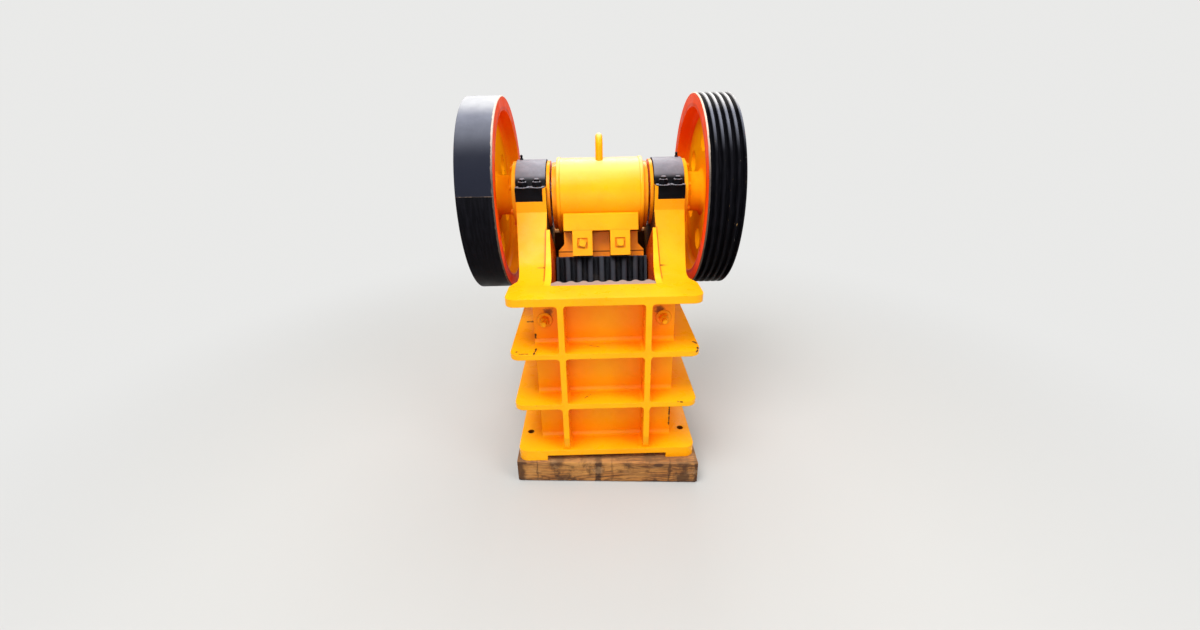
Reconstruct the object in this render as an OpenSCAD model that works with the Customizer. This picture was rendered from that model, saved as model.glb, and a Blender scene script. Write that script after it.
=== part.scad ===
// Jaw crusher with a 250 by 400 feed opening, on two timber bearers.
// X is right, Y is away from the feed front, Z is up, in millimetres.
// Lengths along Y below are counted from the front edge of the shelves.

/* [Timber bearers] */
// height of the bearers
timber_h = 105; // [85:1:130]
// length of the bearers
timber_l = 760; // [740:1:820]
// depth of each bearer
timber_d = 150; // [130:1:170]
// how far the front bearer stands out at its right end
timber_out = 46; // [44:1:60]
// how much less it stands out at its left end
timber_skew = 42; // [0:1:43]

/* [Base] */
// how far the base flange stands out of the shelves
base_out = 3; // [0:1:12]
// depth of the base flange
base_l = 960; // [940:1:1000]
// thickness of the base flange
base_t = 25; // [20:1:32]
// height of the feet under the flange
foot_t = 24; // [16:1:32]
// width of each foot
foot_w = 121; // [100:1:132]
// depth of each foot
foot_l = 200; // [180:1:230]
// radius of the foundation bolt holes
hole_r = 14; // [11:0.5:17]
// distance of the holes from the side edges
hole_in = 39; // [30:1:46]
// distance of the holes from the front and rear edges
hole_back = 135; // [120:1:150]

/* [Frame] */
// height of the box body from base flange to feed flange top
frame_h = 684; // [660:1:720]
// how far the shelves stand out of the side walls
side_out = 89; // [78:1:94]
// thickness of the feed flange
flange_t = 30; // [24:1:36]
// thickness of the shelves
shelf_t = 22; // [16:1:28]
// how far the shelves stand out in front of the front wall
shelf_out = 108; // [90:1:120]
// thickness of the side walls
wall_t = 45; // [30:1:50]
// thickness of the front wall
front_t = 32; // [26:1:38]
// thickness of the rear wall
rear_t = 30; // [24:1:36]
// centre distance of the upright ribs
rib_gap = 328; // [300:1:350]
// thickness of the upright ribs
rib_t = 23; // [16:1:30]
// plan radius of the shelf corners
corner_r = 40; // [20:1:55]
// radius in the corners between ribs and shelves
bay_r = 14; // [8:1:22]
// distance behind the front at which the side slope meets the flange
slope_y = 240; // [225:1:255]
// radius of the hollow curve at the foot of the side slope
slope_r = 200; // [140:1:205]
// thickness of the edge strip on the side walls
strip_t = 28; // [22:1:34]
// how far the edge strip stands out of the wall at its narrowest
strip_out = 60; // [42:1:72]

/* [Main bearings] */
// distance of the shaft behind the front
shaft_y = 650; // [640:1:665]
// height of the shaft above the feed flange
shaft_rise = 263; // [255:1:280]
// outer radius of the bearing caps
cap_r = 155; // [148:1:162]
// width of a bearing cap
cap_w = 116; // [110:1:122]
// half length of the cap foot along Y
seat_half = 180; // [174:1:188]
// height of the cap foot
cap_foot = 57; // [45:1:65]
// radius of the main bearings
bearing_r = 108; // [100:1:112]
// thickness of the bearing covers
cover_t = 14; // [10:1:14]

/* [Shaft and flywheels] */
// journal radius of the eccentric shaft
journal_r = 55; // [48:1:58]
// throw of the eccentric
ecc = 10; // [6:1:11]
// radius of the eccentric middle part
ecc_r = 66; // [64:1:70]
// how far the shaft stands out of the hubs
shaft_out = 13; // [8:1:24]
// radius of the flywheels
wheel_r = 419; // [400:1:430]
// width of the flywheel rims
rim_w = 146; // [130:1:150]
// gap between a bearing cover and the flywheel rim
wheel_gap = 25; // [22:1:34]
// thickness of the rims
rim_t = 58; // [48:1:66]
// thickness of the flywheel webs
web_t = 28; // [22:1:36]
// radius of the flywheel hubs
hub_r = 88; // [80:1:94]
// number of holes in a flywheel web
hole_n = 6; // [4:1:7]
// radius of the web holes
web_hole_r = 50; // [35:1:55]
// number of belt grooves
groove_n = 5; // [4:1:5]
// depth of the belt grooves
groove_d = 20; // [14:1:24]

/* [Jaws] */
// clear width between the cheek plates
chamber_w = 412; // [408:1:420]
// thickness of the cheek plates
cheek_t = 27; // [20:1:32]
// how far the cheek plates stand proud of the side slope
cheek_over = 12; // [6:1:16]
// how much the cheek plates open outward at their top
cheek_open = 12; // [6:1:16]
// side gap between the moving jaw plate and the cheek plates
jaw_side = 7; // [6:1:12]
// thickness of the fixed jaw plate over its teeth
fixed_t = 50; // [44:1:54]
// thickness of the moving jaw plate over its teeth
moving_t = 55; // [48:1:58]
// depth of the teeth
tooth_d = 18; // [10:1:22]
// number of teeth across a plate
teeth = 8; // [6:1:9]
// gap between the jaws at the bottom
jaw_gap = 34; // [32:1:50]
// gap between the jaws at the top
gape = 240; // [236:1:248]
// height of the lower edge of the moving jaw above the base flange
jaw_foot = 111; // [104:1:120]
// how far the moving jaw stands above the feed flange
jaw_over = 27; // [14:1:33]

/* [Swing jaw] */
// radius of the barrel
barrel_r = 168; // [160:1:172]
// side gap between barrel covers and bearing covers
barrel_gap = 9; // [7:1:14]
// how much narrower the neck is than the jaw on each side
neck_in = 26; // [16:1:36]
// how much shorter the clamp bar is than the neck on each side
clamp_in = 3; // [0:1:12]
// height of the clamp bar along the jaw face
clamp_h = 77; // [60:1:80]
// width of each clamp lug
lug_w = 86; // [70:1:92]
// centre distance of the clamp lugs
lug_gap = 164; // [140:1:176]
// bar radius of the lifting eye
eye_r = 16; // [12:1:18]
// inner rise of the lifting eye
eye_rise = 104; // [90:1:115]

/* [Toggle and tension rod] */
// thickness of the toggle plate
toggle_t = 26; // [20:1:30]
// how much narrower the toggle plate is than the jaw on each side
toggle_in = 22; // [14:1:40]
// radius of the tension rod
rod_r = 14; // [11:1:16]
// outer radius of the tension spring
spring_r = 34; // [30:1:38]

/* [Hidden] */
$fn = 72;
e = 0.3;
yel = [0.98, 0.70, 0.06];
blk = [0.05, 0.05, 0.06];
iron = [0.22, 0.21, 0.20];
steel = [0.60, 0.60, 0.62];
wood = [0.50, 0.31, 0.15];
wall_in = chamber_w + 2 * cheek_t;
body_w = wall_in + 2 * wall_t;
flange_w = body_w + 2 * side_out;
base_w = flange_w + 2 * base_out;
strip_w = body_w + 2 * strip_out;
base_z = timber_h + foot_t;
base_top = base_z + base_t;
bay = frame_h / 3;
top_z = base_top + frame_h;
wall_y = shelf_out + front_t;
ax = top_z + shaft_rise;
seat_y0 = shaft_y - seat_half;
seat_y1 = shaft_y + seat_half;
seat_drop = 46;
rear_out = base_l - 80;
rear_in = rear_out - rear_t;
rear_top = base_top + 2 * bay + 260;
cap_x0 = wall_in / 2 + 3;
cap_x1 = cap_x0 + cap_w + 14;
tongue = 15;
foot_x = wall_in / 2 + tongue;
slope_a = atan2(ax - seat_drop - top_z, seat_y0 - slope_y);
slope_tan = slope_r * tan(slope_a / 2);
strip_x = strip_w / 2;
seat_x = cap_x1 - 2;
cover_r = cap_r - 7;
cheek_x = chamber_w / 2;
barrel_z = ax - ecc;
barrel_w = wall_in - 2 * (cover_t + barrel_gap + cover_t + 6);
wheel_in = cap_x1 + cover_t + 4 + wheel_gap;
wheel_out = wheel_in + rim_w;
shaft_l = 2 * (wheel_out + 3 + shaft_out);
fix_y = wall_y + fixed_t;
crest_z = base_top + jaw_foot;
jaw_rise = frame_h + jaw_over - jaw_foot;
crest_y = fix_y + jaw_gap;
jaw_t = atan2(gape - jaw_gap, jaw_rise);
jaw_l = sqrt(pow(gape - jaw_gap, 2) + pow(jaw_rise, 2));
body_hw = cheek_x - 14;
jaw_w = chamber_w - 2 * jaw_side;
neck_w = 2 * (body_hw - neck_in);
clamp_w = neck_w - 2 * clamp_in;
toggle_w = 2 * (body_hw - toggle_in);
rear_pivot = [rear_in - 107, crest_z + 75];
front_pivot = J(40, moving_t + 135 + toggle_t / 2 + ecc + 6) + [0, ecc];
block_y = rear_pivot[0] + 7;
block_z = rear_pivot[1];
rod_a = [front_pivot[0] + 10, front_pivot[1] - 68];
pin_at = rod_a - [0, ecc];
rod_b = [rear_in + rear_t / 2, base_top + 62];
rod_t = atan2(rod_b[1] - rod_a[1], rod_b[0] - rod_a[0]);
rod_run = norm(rod_b - rod_a);
pin_r = 12;
eye_in = pin_r + ecc + 6;
spring_0 = rod_run + rear_t / 2 / cos(rod_t) + (spring_r + 2) * tan(rod_t) + e;
rear_end = rod_a[0] + (rod_run + 232) * cos(rod_t) + rod_r * sin(rod_t);
y_mid = (rear_end - timber_out) / 2;

// the node to build, or all of them

// point on the jaw face, u up along it and v behind its crest line
function J(u, v) = [crest_y + u * sin(jaw_t) + v * cos(jaw_t),
  crest_z + u * cos(jaw_t) - v * sin(jaw_t)];

module place() {
  translate([0, -y_mid, 0]) children();
}

module side(s) {
  if (s > 0) children();
  else mirror([1, 0, 0]) children();
}

// outline given as Y and Z, run along X
module yz(x0, x1) {
  translate([x0, 0, 0]) rotate([90, 0, 90]) linear_extrude(x1 - x0) children();
}

// outline given as X and Z, run along Y
module xz(y0, y1) {
  translate([0, y1, 0]) rotate([90, 0, 0]) linear_extrude(y1 - y0) children();
}

module xcyl(x0, x1, y, z, r) {
  translate([x0, y, z]) rotate([0, 90, 0]) cylinder(h = x1 - x0, r = r);
}

// rectangle by two corners
module rect(a, b) {
  translate(a) square([b[0] - a[0], b[1] - a[1]]);
}

module box(a, b) {
  translate(a) cube([b[0] - a[0], b[1] - a[1], b[2] - a[2]]);
}

// corner filler with a round inside, legs along +x and +y
module corner(r) {
  difference() {
    square(r);
    translate([r, r]) circle(r);
  }
}

// plan of a flange with two rounded front corners
module front_plan(w, y0, y1, r) {
  difference() {
    rect([-w / 2, y0], [w / 2, y1]);
    for (s = [-1, 1]) translate([s * w / 2, y0]) mirror([s > 0 ? 1 : 0, 0]) corner(r);
  }
}

module rear_plan(w, y0, y1, r) {
  mirror([0, 1]) front_plan(w, -y1, -y0, r);
}

// ribs and shelves of the front or rear as one upright outline
module grid(top, levels) {
  for (s = [-1, 1]) rect([s * rib_gap / 2 - rib_t / 2, base_top], [s * rib_gap / 2 + rib_t / 2, top]);
  for (k = levels) {
    z0 = k == 0 ? base_top : base_top + k * bay;
    z1 = base_top + (k + 1) * bay - (k == 2 ? flange_t : shelf_t);
    for (s = [-1, 1]) for (q = [-1, 1]) translate([s * rib_gap / 2 + q * rib_t / 2, 0]) {
      translate([0, z0]) mirror([q < 0 ? 1 : 0, 0]) corner(bay_r);
      translate([0, z1]) mirror([q < 0 ? 1 : 0, 0]) mirror([0, 1]) corner(bay_r);
    }
  }
}

// timber bearers

module timber_front() {
  color(wood) place() linear_extrude(timber_h) polygon([
    [timber_l / 2, -timber_out], [-timber_l / 2, timber_skew - timber_out],
    [-timber_l / 2, timber_skew - timber_out + timber_d], [timber_l / 2, timber_d - timber_out]]);
}

module timber_rear() {
  color(wood) place() box([-timber_l / 2, base_l - timber_d, 0], [timber_l / 2, base_l, timber_h]);
}

// frame

module base_flange() {
  color(yel) place() difference() {
    union() {
      translate([0, 0, base_z]) linear_extrude(base_t) intersection() {
        front_plan(base_w, 0, base_l, corner_r);
        rear_plan(base_w, 0, base_l, corner_r);
      }
      translate([0, 0, timber_h]) linear_extrude(foot_t) intersection() {
        front_plan(base_w, 0, base_l, corner_r);
        rear_plan(base_w, 0, base_l, corner_r);
        for (s = [0, 1]) mirror([s, 0]) for (y = [0, base_l - foot_l])
          rect([base_w / 2 - foot_w, y], [base_w / 2, y + foot_l]);
      }
    }
    box([-wall_in / 2, wall_y, 0], [wall_in / 2, rear_in, base_top + 1]);
    for (s = [-1, 1]) for (y = [hole_back, base_l - hole_back])
      translate([s * (base_w / 2 - hole_in), y, 0]) cylinder(h = base_top + 1, r = hole_r);
  }
}

module front_frame() {
  color(yel) place() {
    box([-body_w / 2, shelf_out, base_top], [body_w / 2, wall_y, top_z - flange_t]);
    intersection() {
      xz(0, shelf_out) grid(top_z - flange_t, [0, 1, 2]);
      yz(-rib_gap, rib_gap)
        polygon([[12, base_top], [0, base_top + 60], [0, top_z], [wall_y, top_z], [wall_y, base_top]]);
    }
    for (k = [1, 2]) translate([0, 0, base_top + k * bay - shelf_t])
      linear_extrude(shelf_t) front_plan(flange_w, 0, wall_y, corner_r);
    translate([0, 0, top_z - flange_t])
      linear_extrude(flange_t) front_plan(flange_w, 0, wall_y, corner_r);
  }
}

// hollow curve at the foot of the side slope
slope_pts = [for (i = [0:14]) let (a = slope_a * i / 14)
  [slope_y - slope_tan + slope_r * sin(a), top_z + slope_r * (1 - cos(a))]];

// side view outline of a side wall, up to the split of the bearings
module wall_outline() {
  difference() {
    polygon(concat([[wall_y, base_top], [wall_y, top_z]], slope_pts,
      [[seat_y0, ax - seat_drop], [seat_y0, ax], [seat_y1, ax],
      [seat_y1, ax - seat_drop], [rear_out, rear_top], [rear_out, base_top]]));
    translate([shaft_y, ax]) circle(bearing_r);
  }
}

module strip_outline() {
  difference() {
    wall_outline();
    intersection() {
      translate([strip_t, -strip_t]) wall_outline();
      translate([-strip_t, -strip_t]) wall_outline();
      rect([0, 0], [2000, ax - strip_t]);
    }
  }
}

// plan of the edge strip, outer edge from the flange to the bearing seat
module strip_plan() {
  polygon([[foot_x, wall_y], [flange_w / 2, wall_y], [flange_w / 2 - 5, wall_y + 12],
    [flange_w / 2 - 12, wall_y + 28], [strip_x + 3, wall_y + 50], [strip_x, wall_y + 78],
    [strip_x + 2, wall_y + 110], [seat_x, seat_y0], [seat_x, seat_y1],
    [strip_x - 20, rear_out], [foot_x, rear_out]]);
}

module side_frame(s) {
  color(yel) place() side(s) {
    yz(wall_in / 2, body_w / 2) wall_outline();
    // tongue beside the cap foot
    yz(wall_in / 2, foot_x - e) difference() {
      rect([seat_y0, ax - 1], [seat_y1, ax + cap_foot - 0.5]);
      translate([shaft_y, ax]) circle(bearing_r);
      rect([shaft_y - bearing_r, ax], [shaft_y + bearing_r, ax + 200]);
    }
    // round lower half of the bearing housing
    yz(body_w / 2 - 2, seat_x) difference() {
      circle_half(cap_r);
      translate([shaft_y, ax]) circle(bearing_r);
    }
  }
}

// edge strip, shelves and upright ribs on the outside of a side wall
module side_ribs(s) {
  color(yel) place() side(s) difference() {
    union() {
      intersection() {
        yz(body_w / 2, seat_x + 10) intersection() {
          strip_outline();
          union() {
            rect([wall_y, top_z - flange_t], [shaft_y, ax + 1]);
            rect([shaft_y - 1, rear_top - 40], [rear_out, ax + 1]);
          }
        }
        translate([0, 0, base_top]) linear_extrude(frame_h + shaft_rise) strip_plan();
      }
      for (z = [base_top + bay, base_top + 2 * bay])
        box([body_w / 2, wall_y, z - shelf_t], [flange_w / 2, rear_out, z]);
      // each upright stands between the base, the shelves and the strip
      for (y = [seat_y0 + 40, shaft_y, seat_y1 - 40]) for (k = [0, 1, 2])
        box([body_w / 2, y - rib_t / 2, base_top + k * bay + (k == 0 ? 0 : e)], [strip_x - 14,
          y + rib_t / 2, k == 2 ? ax - strip_t - e : base_top + (k + 1) * bay - shelf_t - e]);
    }
    xcyl(0, 500, shaft_y, ax, cap_r);
  }
}

module circle_half(r) {
  intersection() {
    translate([shaft_y, ax]) circle(r);
    rect([0, 0], [2000, ax]);
  }
}

module rear_frame() {
  color(yel) place() {
    difference() {
      box([-wall_in / 2, rear_in, base_top], [wall_in / 2, rear_out, rear_top]);
      translate([0, rod_b[0], rod_b[1]]) rotate([90 - rod_t, 0, 0]) translate([0, 0, -60])
        cylinder(h = 120, r = rod_r + 8);
    }
    xz(rear_out, base_l) grid(rear_top, [0, 1]);
    for (k = [1, 2]) translate([0, 0, base_top + k * bay - shelf_t])
      linear_extrude(shelf_t) rear_plan(flange_w, rear_out, base_l, corner_r);
    translate([0, 0, rear_top - strip_t])
      linear_extrude(strip_t) rear_plan(flange_w - 40, rear_out, base_l - 20, corner_r);
  }
}

// two bars that guide the toggle block
module toggle_guides() {
  color(yel) place() for (z = [block_z - 78, block_z + 58])
    box([-wall_in / 2, block_y + 4, z], [wall_in / 2, rear_in, z + 20]);
}

// crushing chamber

// upper front edge of a cheek plate, from its flat part to its top end
cheek_pts = [for (i = [0:14]) let (a = slope_a * i / 14)
  slope_pts[i] + cheek_over * sin(a) * [-1, 1]];
cheek_end = cheek_pts[14] + (seat_y0 - 70 - slope_pts[14][0]) * [1, tan(slope_a)];

module cheek_plate(s) {
  color(iron) place() side(s) difference() {
    yz(cheek_x, wall_in / 2) polygon(concat([[wall_y + 1, base_top + 60], [wall_y + 1, top_z]],
      cheek_pts, [cheek_end, [seat_y0 + 60, top_z + 32], [seat_y0 - 110, base_top + 60]]));
    xz(wall_y, seat_y0 + 100) polygon([[cheek_x - 1, top_z], [cheek_x, top_z],
      [cheek_x + cheek_open, cheek_end[1] + 1], [cheek_x - 1, cheek_end[1] + 1]]);
  }
}

// toothed outline, width along x and thickness along y, crests at y = 0
module teeth2d(w, t, n, ph) {
  p = w / n;
  k = 10;
  pts = [for (i = [0:n * k]) let (a = (i / k + ph) * 360, c = cos(a))
    [-w / 2 + i * p / k, tooth_d * (0.5 - 0.5 * sign(c) * pow(abs(c), 0.6))]];
  polygon(concat(pts, [[w / 2, t], [-w / 2, t]]));
}

module fixed_jaw_plate() {
  color(iron) place() translate([0, fix_y, base_top + 78]) mirror([0, 1, 0])
    linear_extrude(frame_h - 78) teeth2d(chamber_w - 1, fixed_t, teeth, 0.5);
}

module fixed_jaw_ledge() {
  color(yel) place() box([-wall_in / 2, wall_y, base_top + 40], [wall_in / 2, fix_y - 8, base_top + 60]);
  color(yel) place() box([-cheek_x + 1, wall_y, base_top + 60], [cheek_x - 1, fix_y - 8, base_top + 78]);
}

// bearings

module bearing_cap(s) {
  color(blk) place() side(s) difference() {
    union() {
      yz(foot_x, cap_x1 - 2) rect([seat_y0, ax], [seat_y1, ax + cap_foot]);
      yz(cap_x0, cap_x1) intersection() {
        translate([shaft_y, ax]) circle(cap_r, $fn = 120);
        rect([0, ax + cap_foot - 0.5], [2000, ax + 400]);
      }
    }
    xcyl(wall_in / 2, cap_x1 + 10, shaft_y, ax, bearing_r);
  }
}

module outer_cover(s) {
  color(yel) place() side(s) difference() {
    union() {
      xcyl(cap_x1, cap_x1 + cover_t + 4, shaft_y, ax, cover_r);
      xcyl(cap_x1 - 12, cap_x1 + 1, shaft_y, ax, bearing_r - e);
    }
    xcyl(cap_x1 - 20, cap_x1 + 40, shaft_y, ax, journal_r + 5);
  }
}

module inner_cover(s) {
  color(yel) place() side(s) difference() {
    union() {
      xcyl(wall_in / 2 - cover_t, wall_in / 2, shaft_y, ax, cover_r);
      xcyl(wall_in / 2 - 1, wall_in / 2 + 24, shaft_y, ax, bearing_r - e);
    }
    xcyl(wall_in / 2 - 20, wall_in / 2 + 40, shaft_y, ax, journal_r + 5);
  }
}

module main_bearing(s) {
  color(steel) place() side(s) difference() {
    xcyl(wall_in / 2 + 24, cap_x1 - 12, shaft_y, ax, bearing_r - e);
    xcyl(wall_in / 2, cap_x1 + 10, shaft_y, ax, journal_r + 0.05);
  }
}

// turning parts

module eccentric_shaft() {
  color(steel) place() {
    xcyl(-shaft_l / 2 + 3, shaft_l / 2 - 3, shaft_y, ax, journal_r - 5);
    xcyl(-shaft_l / 2, shaft_l / 2, shaft_y, ax, journal_r - 8);
    xcyl(-cap_x1 - cover_t - 8, cap_x1 + cover_t + 8, shaft_y, ax, journal_r);
    xcyl(-barrel_w / 2 - 10, barrel_w / 2 + 10, shaft_y, ax - ecc, ecc_r);
  }
}

// inner and outer faces of the rim, from the shaft middle outward
wi = wheel_in;
wo = wheel_out;
wm = (wi + wo) / 2;
web_f = 20;
web_r = wheel_r - rim_t - web_f - 6;
boss_r = hub_r + web_f + 2;
hub0 = cap_x1 + cover_t + 4 + 20;

// quarter round points from angle a0 to a1
function arc(cx, cy, r, a0, a1) = [for (i = [0:6]) let (a = a0 + (a1 - a0) * i / 6)
  [cx + r * cos(a), cy + r * sin(a)]];

// profile of a flywheel, radius along x and distance from the middle along y
module wheel2d(grooves) {
  rr = wheel_r - rim_t;
  f = web_f;
  pitch = rim_w / (groove_n + 0.15);
  outer = grooves ? [for (i = [0:groove_n - 1]) let (c = wm + (i - (groove_n - 1) / 2) * pitch)
    each [[wheel_r, c - pitch * 0.34], [wheel_r - groove_d, c - pitch * 0.16],
      [wheel_r - groove_d, c + pitch * 0.16], [wheel_r, c + pitch * 0.34]]] : [];
  polygon(concat(
    [[journal_r - 5 + 0.2, hub0], [hub_r - 3, hub0], [hub_r, hub0 + 3]],
    arc(hub_r + f, wm - web_t / 2 - f, f, 180, 90),
    arc(rr - f, wm - web_t / 2 - f, f, 90, 0),
    [[rr, wi + 2], [rr + 2, wi], [wheel_r - 3, wi], [wheel_r, wi + 3]],
    outer,
    [[wheel_r, wo - 3], [wheel_r - 3, wo], [rr + 2, wo], [rr, wo - 2]],
    arc(rr - f, wm + web_t / 2 + f, f, 0, -90),
    arc(hub_r + f, wm + web_t / 2 + f, f, -90, -180),
    [[hub_r, wo + 0], [hub_r - 3, wo + 3], [journal_r - 5 + 0.2, wo + 3]]));
}

module rim(s, grooves) {
  place() side(s) translate([0, shaft_y, ax]) rotate([0, 90, 0]) rotate_extrude($fn = 144) difference() {
    wheel2d(grooves);
    square([web_r, 2000]);
  }
}

// web of a flywheel
module wheel(s) {
  place() side(s) difference() {
    translate([0, shaft_y, ax]) rotate([0, 90, 0]) rotate_extrude($fn = 144) intersection() {
      wheel2d(false);
      rect([boss_r, 0], [web_r, 2000]);
    }
    for (i = [0:hole_n - 1]) rotate_x(i * 360 / hole_n + 30)
      xcyl(wm - web_t, wm + web_t, (hub_r + wheel_r - rim_t) / 2, 0, web_hole_r);
  }
}

// turn about the shaft line
module rotate_x(a) {
  translate([0, shaft_y, ax]) rotate([a, 0, 0]) children();
}

// hub of a flywheel, with a collar at its inner end
module hub_ring(s) {
  color(yel) place() side(s) translate([0, shaft_y, ax]) rotate([0, 90, 0]) rotate_extrude($fn = 144) {
    rect([journal_r - 5 + 0.2, cap_x1 + cover_t + 9], [hub_r + 4, hub0 + 0.01]);
    intersection() {
      wheel2d(false);
      square([boss_r, 2000]);
    }
  }
}

// swing jaw

// children are drawn in X, depth behind the crest line, and height along it
module jaw_frame() {
  place() translate([0, crest_y, crest_z]) rotate([-jaw_t, 0, 0]) children();
}

module swing_jaw() {
  t0 = moving_t;
  top_u = jaw_l + 180;
  color(yel) difference() {
    union() {
      place() xcyl(-barrel_w / 2, barrel_w / 2, shaft_y, barrel_z, barrel_r);
      // front plate behind the jaw plate, with sloped shoulders to the neck
      jaw_frame() xz(t0, t0 + 46) polygon([[-body_hw, -15], [-body_hw, jaw_l + 30],
        [-neck_w / 2, jaw_l + 58], [-neck_w / 2, top_u], [neck_w / 2, top_u], [neck_w / 2, jaw_l + 58],
        [body_hw, jaw_l + 30], [body_hw, -15]]);
      // thick part of the neck
      place() yz(-neck_w / 2 + 7, neck_w / 2 - 7) polygon([J(jaw_l - 6, t0 + 20), J(top_u - 20, t0 + 20),
        [shaft_y - 40, barrel_z - 125], [shaft_y + 90, barrel_z - 100], J(jaw_l + 10, t0 + 180)]);
      // ribs behind the front plate
      place() for (x = [-150, 0, 150]) yz(x - 13, x + 13) polygon([J(20, t0 + 20), J(jaw_l + 40, t0 + 20),
        [shaft_y - 10, barrel_z - 130], [shaft_y + 110, barrel_z - 90], J(jaw_l - 30, t0 + 190),
        J(95, t0 + 120), J(20, t0 + 110)]);
      // block that holds the toggle seat
      place() yz(-body_hw + 6, body_hw - 6)
        polygon([J(-5, t0 + 20), J(80, t0 + 20), J(80, t0 + 135), J(-5, t0 + 135)]);
      // ears for the tension rod pin
      place() for (s = [-1, 1]) yz(s * 30 - 8, s * 30 + 8)
        polygon([J(5, t0 + 90), J(22, t0 + 120), J(14, t0 + 134), pin_at + [20, 6], pin_at + [14, -16],
          pin_at + [-8, -20], pin_at + [-22, -8]]);
      place() xcyl(-44, 44, pin_at[0], pin_at[1], pin_r);
    }
    place() xcyl(-barrel_w, barrel_w, shaft_y, barrel_z, bearing_r - 1);
  }
}

module pitman_bearing(s) {
  color(steel) place() side(s) difference() {
    xcyl(barrel_w / 2 - 100, barrel_w / 2 - 12, shaft_y, barrel_z, bearing_r - 1 - e);
    xcyl(0, barrel_w, shaft_y, barrel_z, ecc_r + 0.05);
  }
}

module barrel_cover(s) {
  color(yel) place() side(s) difference() {
    union() {
      xcyl(barrel_w / 2, barrel_w / 2 + cover_t + 6, shaft_y, barrel_z, barrel_r - 18);
      xcyl(barrel_w / 2 - 12, barrel_w / 2 + 1, shaft_y, barrel_z, bearing_r - 1 - e);
    }
    xcyl(0, barrel_w, shaft_y, barrel_z, ecc_r + 5);
  }
}

module moving_jaw_plate() {
  color(iron) jaw_frame() linear_extrude(jaw_l) teeth2d(jaw_w, moving_t, teeth, 0);
}

module clamp_bar() {
  color(yel) difference() {
    jaw_frame() yz(-clamp_w / 2, clamp_w / 2) polygon([[-20, jaw_l + 111], [-20, jaw_l + 103 + clamp_h],
      [-12, jaw_l + 111 + clamp_h], [moving_t, jaw_l + 111 + clamp_h], [moving_t, jaw_l + 111]]);
    place() xcyl(-barrel_w, barrel_w, shaft_y, barrel_z, barrel_r + e);
  }
}

module clamp_lug(s) {
  color(yel) jaw_frame() side(s) difference() {
    box([lug_gap / 2 - lug_w / 2, -35, jaw_l + 2], [lug_gap / 2 + lug_w / 2, moving_t, jaw_l + 110]);
    box([lug_gap / 2 - 22, -41, jaw_l + 34], [lug_gap / 2 + 22, -29, jaw_l + 78]);
  }
}

module lifting_eye() {
  zc = barrel_z + barrel_r + eye_rise - 38 - eye_r;
  color(yel) place() difference() {
    union() {
      for (q = [-1, 1]) translate([0, shaft_y + q * 38, barrel_z + barrel_r - 30])
        cylinder(h = zc - barrel_z - barrel_r + 30, r = eye_r);
      translate([0, shaft_y, zc]) rotate([0, 0, 90]) rotate([90, 0, 0]) rotate_extrude(angle = 180)
        translate([38, 0]) circle(eye_r);
    }
    xcyl(-100, 100, shaft_y, barrel_z, barrel_r + e);
  }
}

// toggle and tension rod

module toggle_plate() {
  color(iron) place() yz(-toggle_w / 2, toggle_w / 2) {
    translate(front_pivot) circle(toggle_t / 2);
    translate(rear_pivot) circle(toggle_t / 2);
    translate(front_pivot) rotate(atan2(rear_pivot[1] - front_pivot[1], rear_pivot[0] - front_pivot[0]))
      translate([0, -toggle_t / 2]) square([norm(rear_pivot - front_pivot), toggle_t]);
  }
}

module toggle_block() {
  color(iron) place() difference() {
    yz(-toggle_w / 2 - 20, toggle_w / 2 + 20)
      rect([block_y, block_z - 58 + e], [rear_in - 50, block_z + 58 - e]);
    xcyl(-toggle_w, toggle_w, rear_pivot[0], rear_pivot[1], toggle_t / 2 + e);
  }
}

module shim_pack() {
  color(steel) place() for (k = [0:4]) let (x = toggle_w / 2 + 10 - (k % 2) * 4)
    box([-x, rear_in - 50 + k * 10, block_z - 57], [x, rear_in - 40 + k * 10, block_z + 57]);
}

// children run along the rod, z from the pin outward
module rod_frame() {
  place() translate([0, rod_a[0], rod_a[1]]) rotate([rod_t - 90, 0, 0]) children();
}

module tension_rod() {
  color(steel) rod_frame() {
    difference() {
      union() {
        rotate([0, 90, 0]) cylinder(h = 28, r = eye_in + 12, center = true);
        translate([0, 0, eye_in + 6]) cylinder(h = rod_run + 226 - eye_in, r = rod_r);
      }
      rotate([0, 90, 0]) cylinder(h = 60, r = eye_in, center = true);
    }
    translate([0, 0, rod_run + 186]) cylinder(h = 7, r = spring_r + 2);
    translate([0, 0, rod_run + 193]) cylinder(h = 24, r = rod_r * 1.7, $fn = 6);
  }
}

module tension_spring() {
  color(blk) rod_frame() translate([0, 0, spring_0]) {
    difference() {
      union() {
        cylinder(h = rod_run + 186 - spring_0, r = spring_r - 7);
        for (k = [0:6]) translate([0, 0, 16 + k * 22]) rotate_extrude()
          translate([spring_r - 8, 0]) circle(8, $fn = 24);
        cylinder(h = 8, r = spring_r + 2);
      }
      translate([0, 0, -1]) cylinder(h = 200, r = rod_r + e);
    }
  }
}

timber_front();
timber_rear();
base_flange();
front_frame();
side_frame(-1);  // side_frame_left
side_frame(1);  // side_frame_right
side_ribs(-1);  // side_ribs_left
side_ribs(1);  // side_ribs_right
rear_frame();
toggle_guides();
cheek_plate(-1);  // cheek_plate_left
cheek_plate(1);  // cheek_plate_right
fixed_jaw_plate();
fixed_jaw_ledge();
bearing_cap(-1);  // bearing_cap_left
bearing_cap(1);  // bearing_cap_right
outer_cover(-1);  // outer_cover_left
outer_cover(1);  // outer_cover_right
inner_cover(-1);  // inner_cover_left
inner_cover(1);  // inner_cover_right
main_bearing(-1);  // main_bearing_left
main_bearing(1);  // main_bearing_right
eccentric_shaft();
color(yel) wheel(-1);  // plain_flywheel
color(blk) rim(-1, false);  // plain_flywheel_rim
color(yel) wheel(1);  // grooved_flywheel
color(blk) rim(1, true);  // grooved_flywheel_rim
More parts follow.
